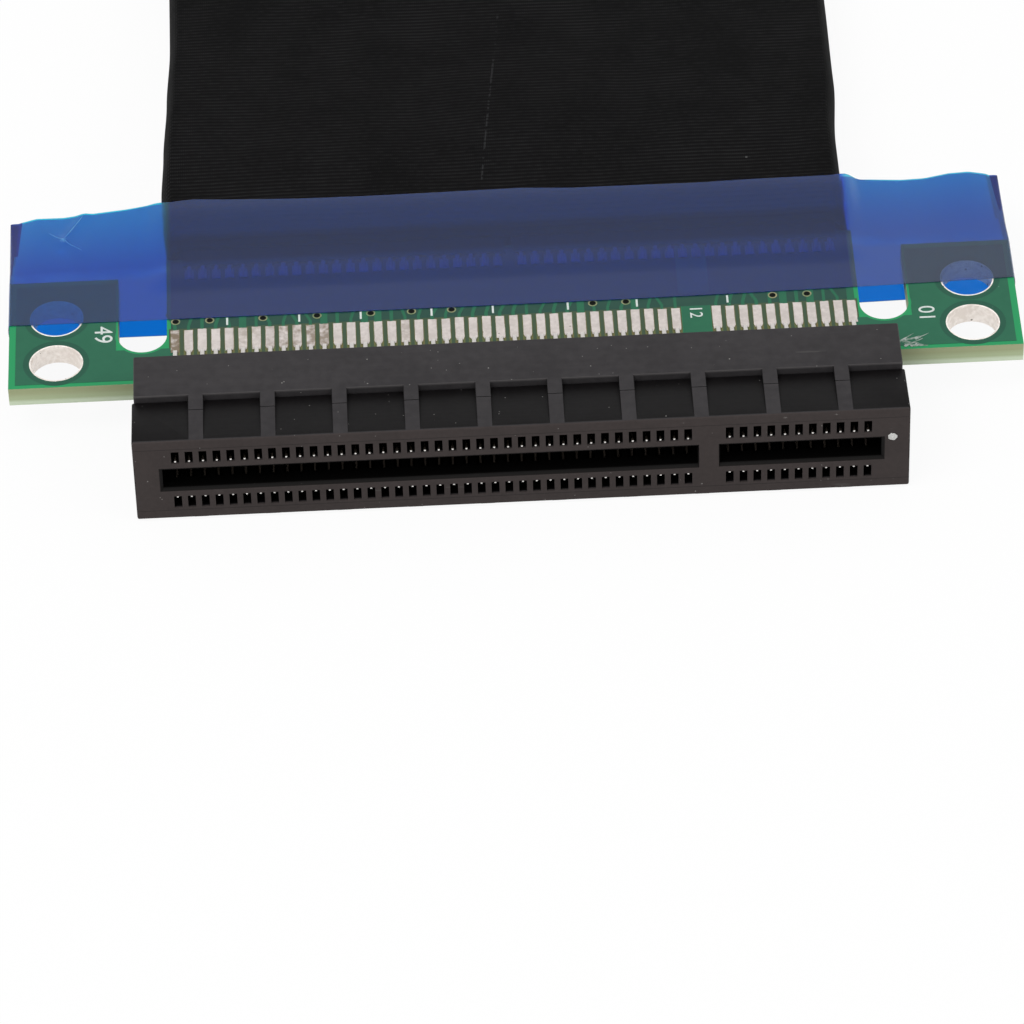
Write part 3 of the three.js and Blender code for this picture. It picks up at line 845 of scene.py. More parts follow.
upper_contacts = bent_strip("upper_contacts", CONTACT_LINE, STRIP_WIDTH, FRONT_WIDTH)
apply_modifier(upper_contacts, "SOLIDIFY", thickness=STRIP_THICKNESS * MM, offset=0)
edit_whole(upper_contacts, bpy.ops.mesh.normals_make_consistent, inside=False)
soften(upper_contacts, 0.03, 1, 50)
short_contacts = moved(copy_of(upper_contacts, "short_contacts"), SHORT_START)
repeat(short_contacts, SHORT_BANK, (CONTACT_PITCH, 0, 0))
repeat(moved(upper_contacts, FIRST_CONTACT), LONG_BANK, (CONTACT_PITCH, 0, 0))
upper_contacts = join([upper_contacts, short_contacts])


def tinned_metal(name, color, stain, stain_share):
    """Dull silvery metal with pits and brown stains, for solder, tin and plating."""
    finish = Finish(name, color, 0.42, Metallic=0.55)
    stains = finish.mottle(500, 2600, 3.2)
    finish.tint(stains, stain, stain_share)
    finish.tint(finish.specks(2600, 0.2, 0.08), (0.05, 0.035, 0.025), 0.85)
    finish.tint(finish.specks(1100, 0.16, 0.03), (0.03, 0.02, 0.015), 0.9)
    finish.roughness_range(stains, 0.5, 0.32)
    finish.bump(stains, 0.03, 0.6)
    return finish.material


def contact_metal():
    """Plated metal made dark by painted shade inside the slot, bright at the tips and tinned at the tails.
    """
    # Painted shade: the base colour is dark for the part of each strip that lies within the housing.
    finish = Finish("contact_metal", (0.10, 0.082, 0.068), 0.4, Metallic=0.6)
    finish.tint(finish.mottle(900, 4000, 1.5), (0.05, 0.04, 0.032), 0.5)
    finish.tint(finish.after("Y", 9.0, 9.4), (0.66, 0.63, 0.60))
    finish.tint(finish.before("Y", 0.05, 0.09), (0.80, 0.78, 0.75))
    return finish.material


seat_pair(upper_contacts, "lower_contacts", contact_metal())

# %% [markdown]
# A dot of white paint marks the first contact on the housing's front. It is a flattened drop with
# an uneven rim.

# %% Paint dot
DOT_RADIUS, DOT_DEPTH, DOT_PLACE = 0.34, 0.05, (26.78, -0.02, 1.1)

random.seed(4)
paint_dot = rod("paint_dot", (0, 0, 0), DOT_RADIUS, DOT_DEPTH, sides=20)
for vertex in paint_dot.data.vertices:
    vertex.co.x *= random.uniform(0.82, 1.12)
    vertex.co.y *= random.uniform(0.82, 1.12)
paint_dot.data.transform(Euler((math.radians(90), 0, 0)).to_matrix().to_4x4())
moved(paint_dot, *DOT_PLACE)
soften(paint_dot, 0.02, 2)
white_paint = mottled("white_paint", (0.62, 0.62, 0.6), 0.7, (2500, 8000, 2.0), (0.35, 0.34, 0.33), 0.5)
seat(paint_dot, white_paint)

# %% [markdown]
# The board behind the slot is green laminate, 1.57 mm thick. The whole board is one block, cut
# back at its corners, with two notches whose ends are round and four plated holes.

# %% Slot board
BOARD_HALF, BOARD_FRONT, TAB_BACK, TONGUE_BACK = 37.25, 9.75, 21.5, 23.4
TONGUE_HALF, NOTCH_WIDTH, NOTCH_ROUND_Y = 25.6, 3.6, 15.0
HOLE_X, HOLE_YS, HOLE_RADIUS = 33.75, (12.4, 17.35), 2.0
NOTCH_MIDDLE = TONGUE_HALF + NOTCH_WIDTH / 2

board = block(
    "printed_board", (-BOARD_HALF, BOARD_FRONT, -BOARD_TOP), (BOARD_HALF, TONGUE_BACK, BOARD_TOP))
for side in (-1, 1):
    cutters = [
        side_block("corner", side, NOTCH_MIDDLE, BOARD_HALF + 1, TAB_BACK, TONGUE_BACK + 1, 2),
        rod("notch_round", (side * NOTCH_MIDDLE, NOTCH_ROUND_Y, 0), NOTCH_WIDTH / 2, 4, 64),
        side_block(
            "notch_run", side, TONGUE_HALF, TONGUE_HALF + NOTCH_WIDTH, NOTCH_ROUND_Y, TONGUE_BACK + 2, 2),
        *(rod("hole", (side * HOLE_X, hole_y, 0), HOLE_RADIUS, 4, 64) for hole_y in HOLE_YS),
    ]
    for cutter in cutters:
        combine(board, cutter, "DIFFERENCE")
soften(board, 0.04, 1, 50)

# %% [markdown]
# The mask is bright green where it lies on bare laminate and darker over copper. The copper areas
# are thin plates of their own, as they are on the real board, so their outline is exact from every
# side. The cut edges show the pale laminate.

# %% Solder mask and laminate


def faces_up(finish):
    """A mask that is 1 on the board's two faces and 0 on its cut edges."""
    normal = finish.tree.nodes.new("ShaderNodeNewGeometry").outputs["Normal"]
    upright = add_node(finish.tree, "ShaderNodeSeparateXYZ", links={"Vector": normal}).outputs["Z"]
    return finish.ramp(maths("ABSOLUTE", upright), 0.6, 0.9)


def board_laminate():
    finish = Finish("board_laminate", (0.31, 0.36, 0.19), 0.5, Specular_IOR_Level=0.15)
    finish.tint(finish.brushing(5200, 0.012), (0.50, 0.50, 0.33), 0.55)
    for low, high, color in ((-0.1, 0.35, (0.44, 0.52, 0.32)), (-0.5, -0.25, (0.66, 0.76, 0.58))):
        finish.tint(finish.before("Z", low, high), color, 0.8)
    finish.tint(faces_up(finish), (0.022, 0.30, 0.11))
    finish.roughness_range(faces_up(finish), 0.6, 0.28)
    finish.bump(finish.mottle(900, 2500, 1.0), 0.01, 0.4)
    return finish.material


def green_mask(name, color, patch_color):
    """Green solder mask over something, with soft patches and rare light specks."""
    finish = Finish(name, color, 0.3, Specular_IOR_Level=0.15)
    patch = finish.mottle(260, 1400, 1.6)
    finish.tint(patch, patch_color, 0.5)
    finish.tint(finish.specks(1500, 0.07, 0.05), (0.25, 0.36, 0.31), 0.4)
    finish.bump(patch, 0.01, 0.4)
    return finish.material


laminate = board_laminate()
covered_copper = green_mask("mask_over_copper", (0.021, 0.125, 0.070), (0.028, 0.150, 0.084))
ring_green = green_mask("mask_ring", (0.016, 0.088, 0.055), (0.024, 0.110, 0.066))
dark_green = green_mask("mask_over_plane", (0.019, 0.066, 0.050), (0.030, 0.092, 0.063))
pad_green = green_mask("mask_between_pads", (0.048, 0.088, 0.052), (0.070, 0.095, 0.048))
track_green = green_mask("track_green", (0.023, 0.145, 0.076), (0.019, 0.110, 0.066))
seat(board, laminate, replaces=("slot_board",))

# %% [markdown]
# Each copper area under the mask is one thin plate, a few hundredths of a millimetre high, cut
# clear of the holes and notches. The areas meet at exact lines, so that no two of them overlap.

# %% Copper under the mask
PLATE_SINK, PLATE_RISE = 0.01, 0.02
PLANE_RISE, FIELD_RISE, KEY_FIELD_RISE = 0.008, 0.004, 0.005
PLANE_FRONT, PLANE_BACK = 15.62, TONGUE_BACK - 0.2
FIELD_FRONT, FIELD_BACK = 12.0, PLANE_FRONT + 0.02
KEY_LEFT, KEY_RIGHT = 12.3, 14.6
COPPER_FRONT = BOARD_FRONT + 0.38
RING_INNER, RING_OUTER, RING_RISE, HOLE_CLEAR = 1.97, 2.46, 0.016, 2.44
HOLES = [(side * HOLE_X, hole_y) for side in (-1, 1) for hole_y in HOLE_YS]


def plate(name, low, high, rise=PLATE_RISE):
    """A thin plate on the board's upper face."""
    return block(name, (*low, BOARD_TOP - PLATE_SINK), (*high, BOARD_TOP + rise))


def tab_copper(side):
    """Copper over one end of the board, clear of its edge, its notch and its holes."""
    low, high = sorted((side * (TONGUE_HALF + NOTCH_WIDTH + 0.16), side * (BOARD_HALF - 0.5)))
    copper = plate("tab_copper", (low, COPPER_FRONT), (high, TAB_BACK - 0.5))
    low, high = sorted((side * (TONGUE_HALF - 0.5), side * (TONGUE_HALF + NOTCH_WIDTH + 0.8)))
    combine(copper, plate("bridge", (low, COPPER_FRONT), (high, NOTCH_ROUND_Y - 1.5)), "UNION")
    clear = rod("notch_clear", (side * NOTCH_MIDDLE, NOTCH_ROUND_Y, 0), NOTCH_WIDTH / 2 + 0.22, 4, 64)
    combine(copper, clear, "DIFFERENCE")
    for hole_y in HOLE_YS:
        combine(copper, rod("hole_clear", (side * HOLE_X, hole_y, 0), HOLE_CLEAR, 4, 64), "DIFFERENCE")
    return copper


def ring_plate(name, x, y, inner, outer, rise):
    ring = rod(name, (x, y, BOARD_TOP + rise / 2 - 0.01), outer, rise + 0.02, 64)
    combine(ring, rod("ring_hole", (x, y, 0), inner, 6, 64), "DIFFERENCE")
    return ring


upper_copper = join([tab_copper(side) for side in (-1, 1)])
upper_copper.name = "upper_copper"
upper_plane = join([
    plate("upper_plane", (-25.3, PLANE_FRONT), (KEY_LEFT, PLANE_BACK), PLANE_RISE),
    plate("short_plane", (KEY_RIGHT, PLANE_FRONT), (25.2, PLANE_BACK), PLANE_RISE),
    plate("key_plane", (KEY_LEFT, PLANE_FRONT), (KEY_RIGHT, PLANE_FRONT + 1.4), PLANE_RISE),
])
pad_field = join([
    plate("pad_field", (-25.45, FIELD_FRONT), (12.42, FIELD_BACK), FIELD_RISE),
    plate("short_field", (14.58, FIELD_FRONT), (25.45, FIELD_BACK), FIELD_RISE),
])
key_field = plate(
    "key_field", (12.44, BOARD_FRONT + 0.7), (14.56, PLANE_FRONT + 0.01), KEY_FIELD_RISE)
upper_rings = join([
    ring_plate("upper_rings", x, y, RING_INNER, RING_OUTER, RING_RISE) for x, y in HOLES])
seat_pair(pad_field, "lower_pad_field", pad_green)
seat(key_field, track_green)
seat_pair(upper_plane, "lower_plane", dark_green)
seat_pair(upper_copper, "lower_copper", covered_copper)
seat_pair(upper_rings, "lower_rings", ring_green)

# %% [markdown]
# The mounting holes are plated through: each has a thin silvery barrel, mottled and a little brown
# inside. Its rim stands a hair above the mask.

# %% Hole barrels
PLATING, BARREL_GAP, RIM_RISE = 0.12, 0.005, 0.025


def barrel(x, y):
    outside = rod("barrel", (x, y, 0), HOLE_RADIUS - BARREL_GAP, 2 * (BOARD_TOP + RIM_RISE), 64)
    combine(outside, rod("bore", (x, y, 0), HOLE_RADIUS - PLATING, 6, 64), "DIFFERENCE")
    soften(outside, 0.012, 1, 40)
    return outside


hole_barrels = join([barrel(x, y) for x, y in HOLES])
hole_barrels.name = "hole_barrels"
plated = tinned_metal("plated_barrel", (1.0, 0.94, 0.89), (0.50, 0.41, 0.33), 0.4)
seat(hole_barrels, plated)

# %% [markdown]
# Forty-nine pads a side carry the contact tails. Each is a brownish laminate edge with a raised
# pad of solder on it, its top slightly uneven from pad to pad.

# %% Pads and solder
PAD_FRONT, PAD_BACK, PAD_WIDTH, PAD_RISE = 12.75, 15.42, 0.63, 0.05
BED_HALF, BED_RISE = 0.37, 0.006
BURNT_PADS = ((-25.5, -24.5, 1.0), (-20.6, -17.6, 0.45), (-17.4, -13.6, 0.8), (-8.5, -7.5, 0.4))
PAD_XS = [
    start + i * CONTACT_PITCH
    for start, count in ((FIRST_CONTACT, LONG_BANK), (SHORT_START, SHORT_BANK)) for i in range(count)]


def solder_pad(x):
    """One pad, a little uneven, with the solder drawn up to the contact's tail at its front."""
    half = PAD_WIDTH / 2 * random.uniform(0.95, 1.03)
    back = PAD_BACK + random.uniform(-0.06, 0.05)
    pad = plate("solder_pad", (x - half, PAD_FRONT), (x + half, back), PAD_RISE)
    edit_whole(pad, bpy.ops.mesh.subdivide, number_cuts=3)
    narrow = random.uniform(0.62, 1.0)
    for vertex in pad.data.vertices:
        if vertex.co.z > (BOARD_TOP + PAD_RISE - 0.01) * MM:
            vertex.co.z += random.uniform(-0.012, 0.02) * MM
        if vertex.co.y < (PAD_FRONT + 0.1) * MM:
            vertex.co.x = (x + (vertex.co.x / MM - x) * narrow) * MM
            vertex.co.y += random.uniform(0.2, 0.3) * MM
        elif vertex.co.y < (PAD_FRONT + 0.8) * MM:
            vertex.co.y -= 0.16 * MM
        vertex.co.x += random.uniform(-0.02, 0.02) * MM
    return pad


def tinned_pads():
    """The pads' finish. A few at the left end are browner, as from a hot iron."""
    finish = Finish("tinned_pad", (0.69, 0.63, 0.60), 0.45, Metallic=0.25, Specular_IOR_Level=0.3)
    grain = finish.mottle(700, 3400, 2.6)
    finish.tint(grain, (0.52, 0.47, 0.44), 0.7)
    burnt = finish.mottle(420, 2200, 3.4)
    for low, high, amount in BURNT_PADS:
        zone = product(finish.after("X", low - 0.2, low), finish.before("X", high, high + 0.2))
        finish.tint(product(zone, burnt), (0.22, 0.17, 0.12), amount)
    finish.tint(finish.specks(1700, 0.15, 0.10), (0.16, 0.13, 0.11), 0.7)
    finish.tint(finish.specks(900, 0.13, 0.035), (0.02, 0.016, 0.013), 0.95)
    finish.roughness_range(grain, 0.55, 0.35)
    finish.bump(grain, 0.03, 0.6)
    return finish.material


random.seed(11)
solder_pads = join([solder_pad(x) for x in PAD_XS])
solder_pads.name = "upper_solder_pads"
seat_pair(solder_pads, "lower_solder_pads", tinned_pads(), smooth=50)
pad_beds = join([
    plate("pad_beds", (x - BED_HALF, PAD_FRONT - 1.0), (x + BED_HALF, PAD_BACK + 0.05), BED_RISE)
    for x in PAD_XS])
pad_bed = mottled("pad_bed", (0.14, 0.11, 0.025), 0.5, (1200, 4000, 2.0), (0.05, 0.14, 0.04), 0.6)
seat_pair(pad_beds, "lower_pad_beds", pad_bed)

# %% [markdown]
# Behind the pads the board has small vias, short white ticks, and tracks that fan out under the
# mask. Each via's hole is a near-black disc of painted shade. The tracks are thin raised lines in
# the bright green of the bare laminate's mask.

# %% Vias, ticks and tracks
VIA_Y, TICK_Y = 16.4, 16.2
VIA_XS = (-24.95, -22.43, -18.49, -14.49, -10.52, -7.5, -4.53, 5.92, 8.38, 19.25, 21.8)
VIA_INNER, VIA_OUTER, VIA_RISE = 0.24, 0.34, 0.03
TICK_XS = (-21.14, -15.81, -11.26, -6.02, -1.48, 4.07, 9.18, 15.89)
TICK_HALF_WIDTH, TICK_HALF_LENGTH = 0.075, 0.4
TRACK_MIDDLE, TRACK_BACK = 15.9, 17.3

via_rings = join([
    ring_plate("via_rings", x, VIA_Y, VIA_INNER, VIA_OUTER, VIA_RISE) for x in VIA_XS])
# Painted shade: a near-black disc stands where each via's hole is, in place of the hole.
via_holes = join([rod("via_holes", (x, VIA_Y, BOARD_TOP), 0.25, 0.05, 24) for x in VIA_XS])
seat(via_rings, tinned_metal("via_rim", (0.34, 0.32, 0.18), (0.08, 0.20, 0.09), 0.6))
shaded_via_hole = mottled(
    "shaded_via_hole", (0.004, 0.005, 0.004), 0.6, (3000, 9000), (0.01, 0.012, 0.01), 0.4,
    Specular_IOR_Level=0.05)
seat(via_holes, shaded_via_hole)

ticks = join([
    plate("white_ticks", (x - TICK_HALF_WIDTH, TICK_Y - TICK_HALF_LENGTH),
          (x + TICK_HALF_WIDTH, TICK_Y + TICK_HALF_LENGTH), 0.03)
    for x in TICK_XS])
ink = mottled("white_ink", (0.72, 0.76, 0.74), 0.6, (2600, 7000, 2.0), (0.4, 0.5, 0.46), 0.5)
seat(ticks, ink)


def track(x):
    """A short track from a pad, straight or leaning to one side, and sometimes wide."""
    half = random.choice((0.11, 0.13, 0.27))
    lean = random.choice((-0.6, -0.35, 0.0, 0.0, 0.35, 0.6)) if half < 0.2 else 0.0
    foot = plate("track_foot", (x - half, PAD_BACK - 0.1), (x + half, TRACK_MIDDLE), 0.02)
    head = plate("track_head", (x - half, TRACK_MIDDLE - 0.02), (x + half, TRACK_BACK), 0.019)
    for vertex in head.data.vertices:
        if vertex.co.y > (TRACK_MIDDLE + TRACK_BACK) / 2 * MM:
            vertex.co.x += lean * MM
    combine(foot, head, "UNION")
    return foot


random.seed(23)
tracks = join([track(x) for x in PAD_XS])
tracks.name = "upper_tracks"
seat_pair(tracks, "lower_tracks", track_green)

# %% [markdown]
# Plain contact numbers in white ink say which end is which: 01 at the short bank, 12 and 49 at the
# ends of the long one. Each is a text object made a mesh, then given a place in its mesh.

# %% Contact numbers
NUMBERS = (("49", -30.35, 15.3, 1.9), ("01", 30.4, 13.6, 1.7), ("12", 13.45, 14.9, 1.35))
INK_RISE, NUMBER_RISE = 0.012, 0.025


def number(text, x, y, size):
    """A number that reads from the cable's side, turned a quarter."""
    bpy.ops.object.select_all(action="DESELECT")
    bpy.ops.object.text_add()
    made = bpy.context.object
    made.data.body = text
    made.data.size = size * MM
    made.data.extrude = INK_RISE * MM
    made.data.align_x = "CENTER"
    made.data.align_y = "CENTER"
    bpy.ops.object.convert(target="MESH")
    made.data.transform(Euler((0, 0, math.radians(-90))).to_matrix().to_4x4())
    return moved(made, x, y, BOARD_TOP + NUMBER_RISE)


numbers = join([number(*entry) for entry in NUMBERS])
numbers.name = "contact_numbers"
seat(numbers, ink, smooth=0)

# %% [markdown]
# Where the housing was pressed on, its right back corner has scraped the mask white. The scrape is
# a few thin slivers, thickest at the corner.

# %% Scraped mask
SCRAPE_START, SLIVERS = (28.1, 9.9), 14


def sliver(index):
    """A thin pointed sliver that runs out from the housing's corner."""
    length = random.uniform(0.5, 1.6)
    angle = math.radians(random.uniform(-12, 38))
    start_x, start_y = (
        low + random.uniform(0.0, spread) for low, spread in zip(SCRAPE_START, (1.3, 0.9)))
    made = plate("sliver", (0, -0.1), (length, 0.1), 0.026 + 0.001 * index)
    for vertex in made.data.vertices:
        if vertex.co.x > 0:
            vertex.co.y *= 0.1
    made.data.transform(Euler((0, 0, angle)).to_matrix().to_4x4())
    return moved(made, start_x, start_y)


random.seed(31)
scrape = join([sliver(i) for i in range(SLIVERS)])
scrape.name = "mask_scrape"
scraped_mask = mottled(
    "scraped_mask", (0.42, 0.46, 0.43), 0.7, (1500, 6000, 2.6), (0.07, 0.17, 0.11), 0.8)
seat(scrape, scraped_mask, smooth=0)

# %% [markdown]
# The blue tape is one thin film, wrapped as a flat loop round the board and the cable's end. It
# lies flat on the board, climbs on to the sleeve, and its two free ends stand off a little behind
# the board, where the film curls. Its mesh is a grid round the loop and across its width.

# %% Film tape helpers
FILM_THICKNESS = 0.035
FLAT_OFF = BOARD_TOP + 0.07
OVER_WIRES = BOARD_TOP + 0.42
OVER_SLEEVE = SLEEVE_HALF_HEIGHT + 0.1
FREE_LENGTH = 6.4
LEFT_WALL, RIGHT_WALL = 25.85, 25.45
UPPER_WALL, LOWER_WALL = (-0.2, 1.3), (-0.6, -0.3)
CREASE_REACH = 0.6


def straight_line(line, place):
    """The value at a place on a line of (place, value) points, straight between them."""
    for (low, low_value), (high, high_value) in zip(line, line[1:]):
        if place <= high:
            share = min(max((place - low) / (high - low), 0.0), 1.0)
            return low_value + (high_value - low_value) * share
    return line[-1][1]


class FilmLoop:
    """A flat loop of film round a board and a cable, open at its front and back."""

    columns, end_steps, rows = 260, 8, 44
    creases = ()
    taper = {-1: 0.01, 1: 0.01}

    def __init__(self, half_width, board_back, front, back, top_back, bottom_back, centre):
        self.half_width = half_width
        self.board_back = board_back
        self.front, self.back = front, back
        self.top_back, self.bottom_back = top_back, bottom_back
        self.centre = centre

    def free(self, y):
        """How far along the free film behind the board a place is, from 0 to 1."""
        return min(max((y - self.board_back) / FREE_LENGTH, 0.0), 1.1)

    def surface(self, x, y, side):
        """Height of the upper or the lower sheet at a place."""
        line = self.top_back if side > 0 else self.bottom_back
        free, flat = self.free(y), FLAT_OFF * side
        rest = flat + (straight_line(line, x) - flat) * free * (1.15 - 0.15 * free)
        wall = RIGHT_WALL if x > 0 else LEFT_WALL
        start, end = (wall + edge for edge in (UPPER_WALL if side > 0 else LOWER_WALL))
        over_cable = 1 - smooth_step(abs(x), start, end)
        return rest + (side * along_line(self.centre, y) - rest) * over_cable

    def crease(self, x, y):
        """Sharp little creases near one corner of the free film."""
        height = 0.0
        for (ax, ay), (bx, by), depth in self.creases:
            along = Vector((bx - ax, by - ay))
            to_point = Vector((x - ax, y - ay))
            share = min(max(to_point.dot(along) / along.length_squared, 0.0), 1.0)
            off = (to_point - along * share).length
            height += depth * max(0.0, 1 - off / CREASE_REACH)
        return height

    def edge(self, side, y):
        """How far out the fold is at one side."""
        return self.half_width - self.taper[side] * max(0.0, y - self.board_back)

    def ring(self, share):
        """The points round the loop at one share of its way from front to back."""
        points = []
        for side in (1, -1):
            for i in range(self.columns + 1):
                part = side * (2 * i / self.columns - 1)
                x = part * self.half_width
                y = self.front(x, side) + (self.back(x) - self.front(x, side)) * share
                outer = self.edge(1 if x > 0 else -1, y)
                x = part * (outer - 0.15 - 0.45 * min(self.free(y), 1.0))
                points.append((x, y, self.surface(x, y, side) + self.crease(x, y)))
            last_x, last_y, last_z = points[-1]
            next_z = self.surface(last_x, last_y, -side)
            bulge = side * self.edge(side, last_y) - last_x
            slope = (self.front(last_x, -side) - self.front(last_x, side)) * (1 - share)
            for i in range(1, self.end_steps):
                part = i / self.end_steps
                angle = math.pi * part
                rounder = abs(math.sin(angle)) ** 0.7
                z = (last_z + next_z) / 2 + (last_z - next_z) / 2 * math.cos(angle)
                points.append((last_x + bulge * rounder, last_y + slope * part, z))
        return points

    def build(self, name):
        """The film's object: its folds take the second finish, its lower sheet the third."""
        rings = [self.ring(i / self.rows) for i in range(self.rows + 1)]
        count = len(rings[0])
        points = [Vector(point) * MM for ring in rings for point in ring]
        film = mesh_object(name, points, ring_faces(len(rings), count))
        lower_from = self.columns + self.end_steps
        for polygon in film.data.polygons:
            i, k = divmod(polygon.index, count)
            x, y, _ = rings[i][k]
            stripe = self.edge(1 if x > 0 else -1, y) - 0.75 * self.free(y) - 0.02
            is_fold = abs(x) > stripe and self.free(y) > 0.02
            is_lower = lower_from <= k < lower_from + self.columns
            polygon.material_index = 1 if is_fold else 2 if is_lower else 0
        apply_modifier(film, "SOLIDIFY", thickness=FILM_THICKNESS * MM, offset=0)
        return film


def blue_film(name, color, on_wings=False):
    """Clear blue film: the colour is in what passes through it, and its face is glossy."""
    finish = Finish(name, color, 0.13, Transmission_Weight=0.94, IOR=1.47)
    if on_wings:
        outward = finish.ramp(
            maths("ABSOLUTE", finish.along("X")),
            (SLEEVE_HALF_WIDTH - 0.5) * MM, (SLEEVE_HALF_WIDTH - 0.1) * MM)
        backward = finish.after("Y", 22.5, 28.0)
        finish.tint(outward, (0.01, 0.22, 0.56), 0.9)
        finish.tint(product(outward, backward), (0.01, 0.62, 0.78), 0.85)
        # Painted highlight: the film on the right wing is made lighter and milkier, fading towards the
        # back.
        right_wing_highlight = product(finish.after("X", 25.1, 25.5), inverse(product(backward, 0.8)))
        finish.tint(right_wing_highlight, (0.24, 0.32, 0.50), 0.75)
        # Painted shade: a darker band in the middle where the film climbs from the wires on to the sleeve.
        climb_shade = product(inverse(outward), finish.after("Y", 22.2, 22.7), finish.before("Y", 24.4, 25.0))
        finish.tint(climb_shade, (0.004, 0.09, 0.44), 0.75)
        # Painted highlight: a milky band on the wings where the film bends over the board's back edge.
        bend_highlight = product(outward, finish.after("Y", 21.2, 21.7), finish.before("Y", 21.7, 22.6))
        finish.tint(product(bend_highlight, finish.mottle(130, 600, 2.0)), (0.10, 0.45, 0.80), 0.6)
    finish.bump(finish.mottle(110, 420, 1.0), 0.05, 0.25)
    return finish.material


film_blue = blue_film("blue_film", (0.005, 0.17, 0.66))
film_fold = blue_film("blue_film_fold", (0.004, 0.07, 0.36))
film_near = blue_film("blue_film_near", (0.006, 0.145, 0.70), on_wings=True)
print("film ready")

# %% [markdown]
# The near tape was measured in the photograph: its front and back edges, the height of its free
# back edge on both wings, and the line that it follows over wires and sleeve. Each is a list of
# points. Its right side narrows a little towards the back.

# %% Near tape
TAPE_FRONT = 16.62
NEAR_BACK = (
    (-37.4, 28.0), (-25.7, 28.0), (-24.0, 28.2), (-20.6, 27.97), (-15.6, 27.74), (-10.6, 27.7),
    (-5.6, 27.75), (1.1, 27.85), (5.0, 27.6), (15.0, 27.55), (19.1, 27.68), (25.0, 27.73),
    (27.2, 28.0), (37.4, 28.0),
)
NEAR_TOP_BACK = (
    (-37.24, 0.75), (-36.9, 1.0), (-36.58, 1.17), (-35.31, 1.53), (-33.3, 1.51), (-31.8, 1.71),
    (-28.55, 2.07), (-25.7, 2.56), (-24.0, 2.6), (25.0, 2.2), (26.2, 1.8), (27.24, 1.76),
    (29.76, 1.58), (31.5, 1.64), (33.3, 2.02), (34.8, 2.1), (36.06, 1.84), (36.7, 1.5), (37.2, 0.95),
)
NEAR_BOTTOM_BACK = (
    (-37.24, 0.5), (-36.9, 0.85), (-36.58, 1.05), (-35.31, 1.4), (-33.3, 1.38), (-31.8, 1.58),
    (-28.55, 1.95), (-26.3, 2.4), (-25.0, 2.5), (25.0, 2.45), (25.9, 2.2), (26.4, 1.85),
    (27.24, 1.68), (29.76, 1.47), (31.5, 1.53), (33.3, 1.91), (34.8, 1.98), (36.06, 1.72),
    (36.7, 1.35), (37.2, 0.7),
)
NEAR_CENTRE = (
    (TAPE_FRONT, FLAT_OFF), (19.6, FLAT_OFF), (21.2, OVER_WIRES), (21.6, OVER_WIRES + 0.04),
    (27.4, OVER_SLEEVE), (40.0, OVER_SLEEVE),
)
STAR = (-33.3, 25.5)


def near_front(x, side):
    return TAPE_FRONT + (0.0004 if x > 0 else 0.00007) * x * x + (0.15 if side < 0 else 0.0)


near_loop = FilmLoop(
    BOARD_HALF + 0.1, TAB_BACK + 0.1, near_front, lambda x: straight_line(NEAR_BACK, x),
    NEAR_TOP_BACK, NEAR_BOTTOM_BACK, NEAR_CENTRE)
near_loop.taper = {-1: 0.012, 1: 0.055}
near_loop.creases = (
    ((-31.7, 28.0), STAR, 0.16), (STAR, (-34.5, 26.5), 0.07), (STAR, (-31.8, 24.3), 0.06))
near_film = near_loop.build("near_film")
seat(near_film, (film_near, film_fold, film_blue), replaces=("near_tape_wrap",), smooth=40)

# %% [markdown]
# The film whitens where it was creased. Each crease is a hair-thin sliver that follows the film:
# one long one, two short ones, and a tiny star where they meet.

# %% Creases in the film
CREASES = (((-31.7, 27.9), STAR, 0.07), (STAR, (-34.4, 26.4), 0.05), (STAR, (-31.9, 24.4), 0.05))
STAR_TURNS, STAR_REACH, STAR_WIDTH = (0.3, 1.1, 1.9, 2.6), 0.3, 0.06


def crease_line(start, end, width):
    """A thin pointed sliver on the near film between two places."""
    made = block("film_creases", (0, -0.5, -0.01), (1, 0.5, 0.0))
    edit_whole(made, bpy.ops.mesh.subdivide, number_cuts=5)
    along = Vector((end[0] - start[0], end[1] - start[1]))
    side_way = Vector((-along.y, along.x)).normalized()
    for vertex in made.data.vertices:
        share, across, depth = vertex.co / MM
        half = width * across * (1 - 0.85 * abs(2 * share - 1) ** 2)
        x, y = Vector(start) + along * share + side_way * half
        z = near_loop.surface(x, y, 1) + near_loop.crease(x, y) + 0.035 + depth
        vertex.co = Vector((x, y, z)) * MM
    return made


creases = [crease_line(*crease) for crease in CREASES]
for turn in STAR_TURNS:
    reach = Vector((math.cos(turn), math.sin(turn))) * STAR_REACH
    creases.append(crease_line(tuple(Vector(STAR) - reach), tuple(Vector(STAR) + reach), STAR_WIDTH))
whitened_film = mottled(
    "whitened_film", (0.10, 0.30, 0.58), 0.4, (2500, 9000, 3.0), (0.03, 0.18, 0.50), 0.8)
seat(join(creases), whitened_film, smooth=0)

# %% [markdown]
# The far end is a plain board with a keyed tongue, a bevelled tip and gold fingers on both sides.
# It is outside the photograph, so it follows the common form of such a card.

# %% Edge card
CARD_BACK, CARD_TIP = 337.4, 363.4
CARD_TONGUE, CARD_TONGUE_HALF, CARD_HALF = 12.0, 25.65, 30.0
KEY_X, KEY_SLOT, KEY_DEPTH = 13.5, 1.9, 8.25
KEY_ROUND_Y = CARD_TIP - KEY_DEPTH + KEY_SLOT / 2
SHOULDER_Y = CARD_TIP - CARD_TONGUE
BEVEL_LENGTH, BEVEL_DEPTH = 1.1, 0.4
FINGER_HALF, FINGER_BACK, FINGER_TIP, SHORT_FINGER, FINGER_RISE = 0.35, 6.9, 1.25, 1.4, 0.035
SHORT_FINGERS = (SHORT_START + (SHORT_BANK - 1) * CONTACT_PITCH, FIRST_CONTACT + 1)

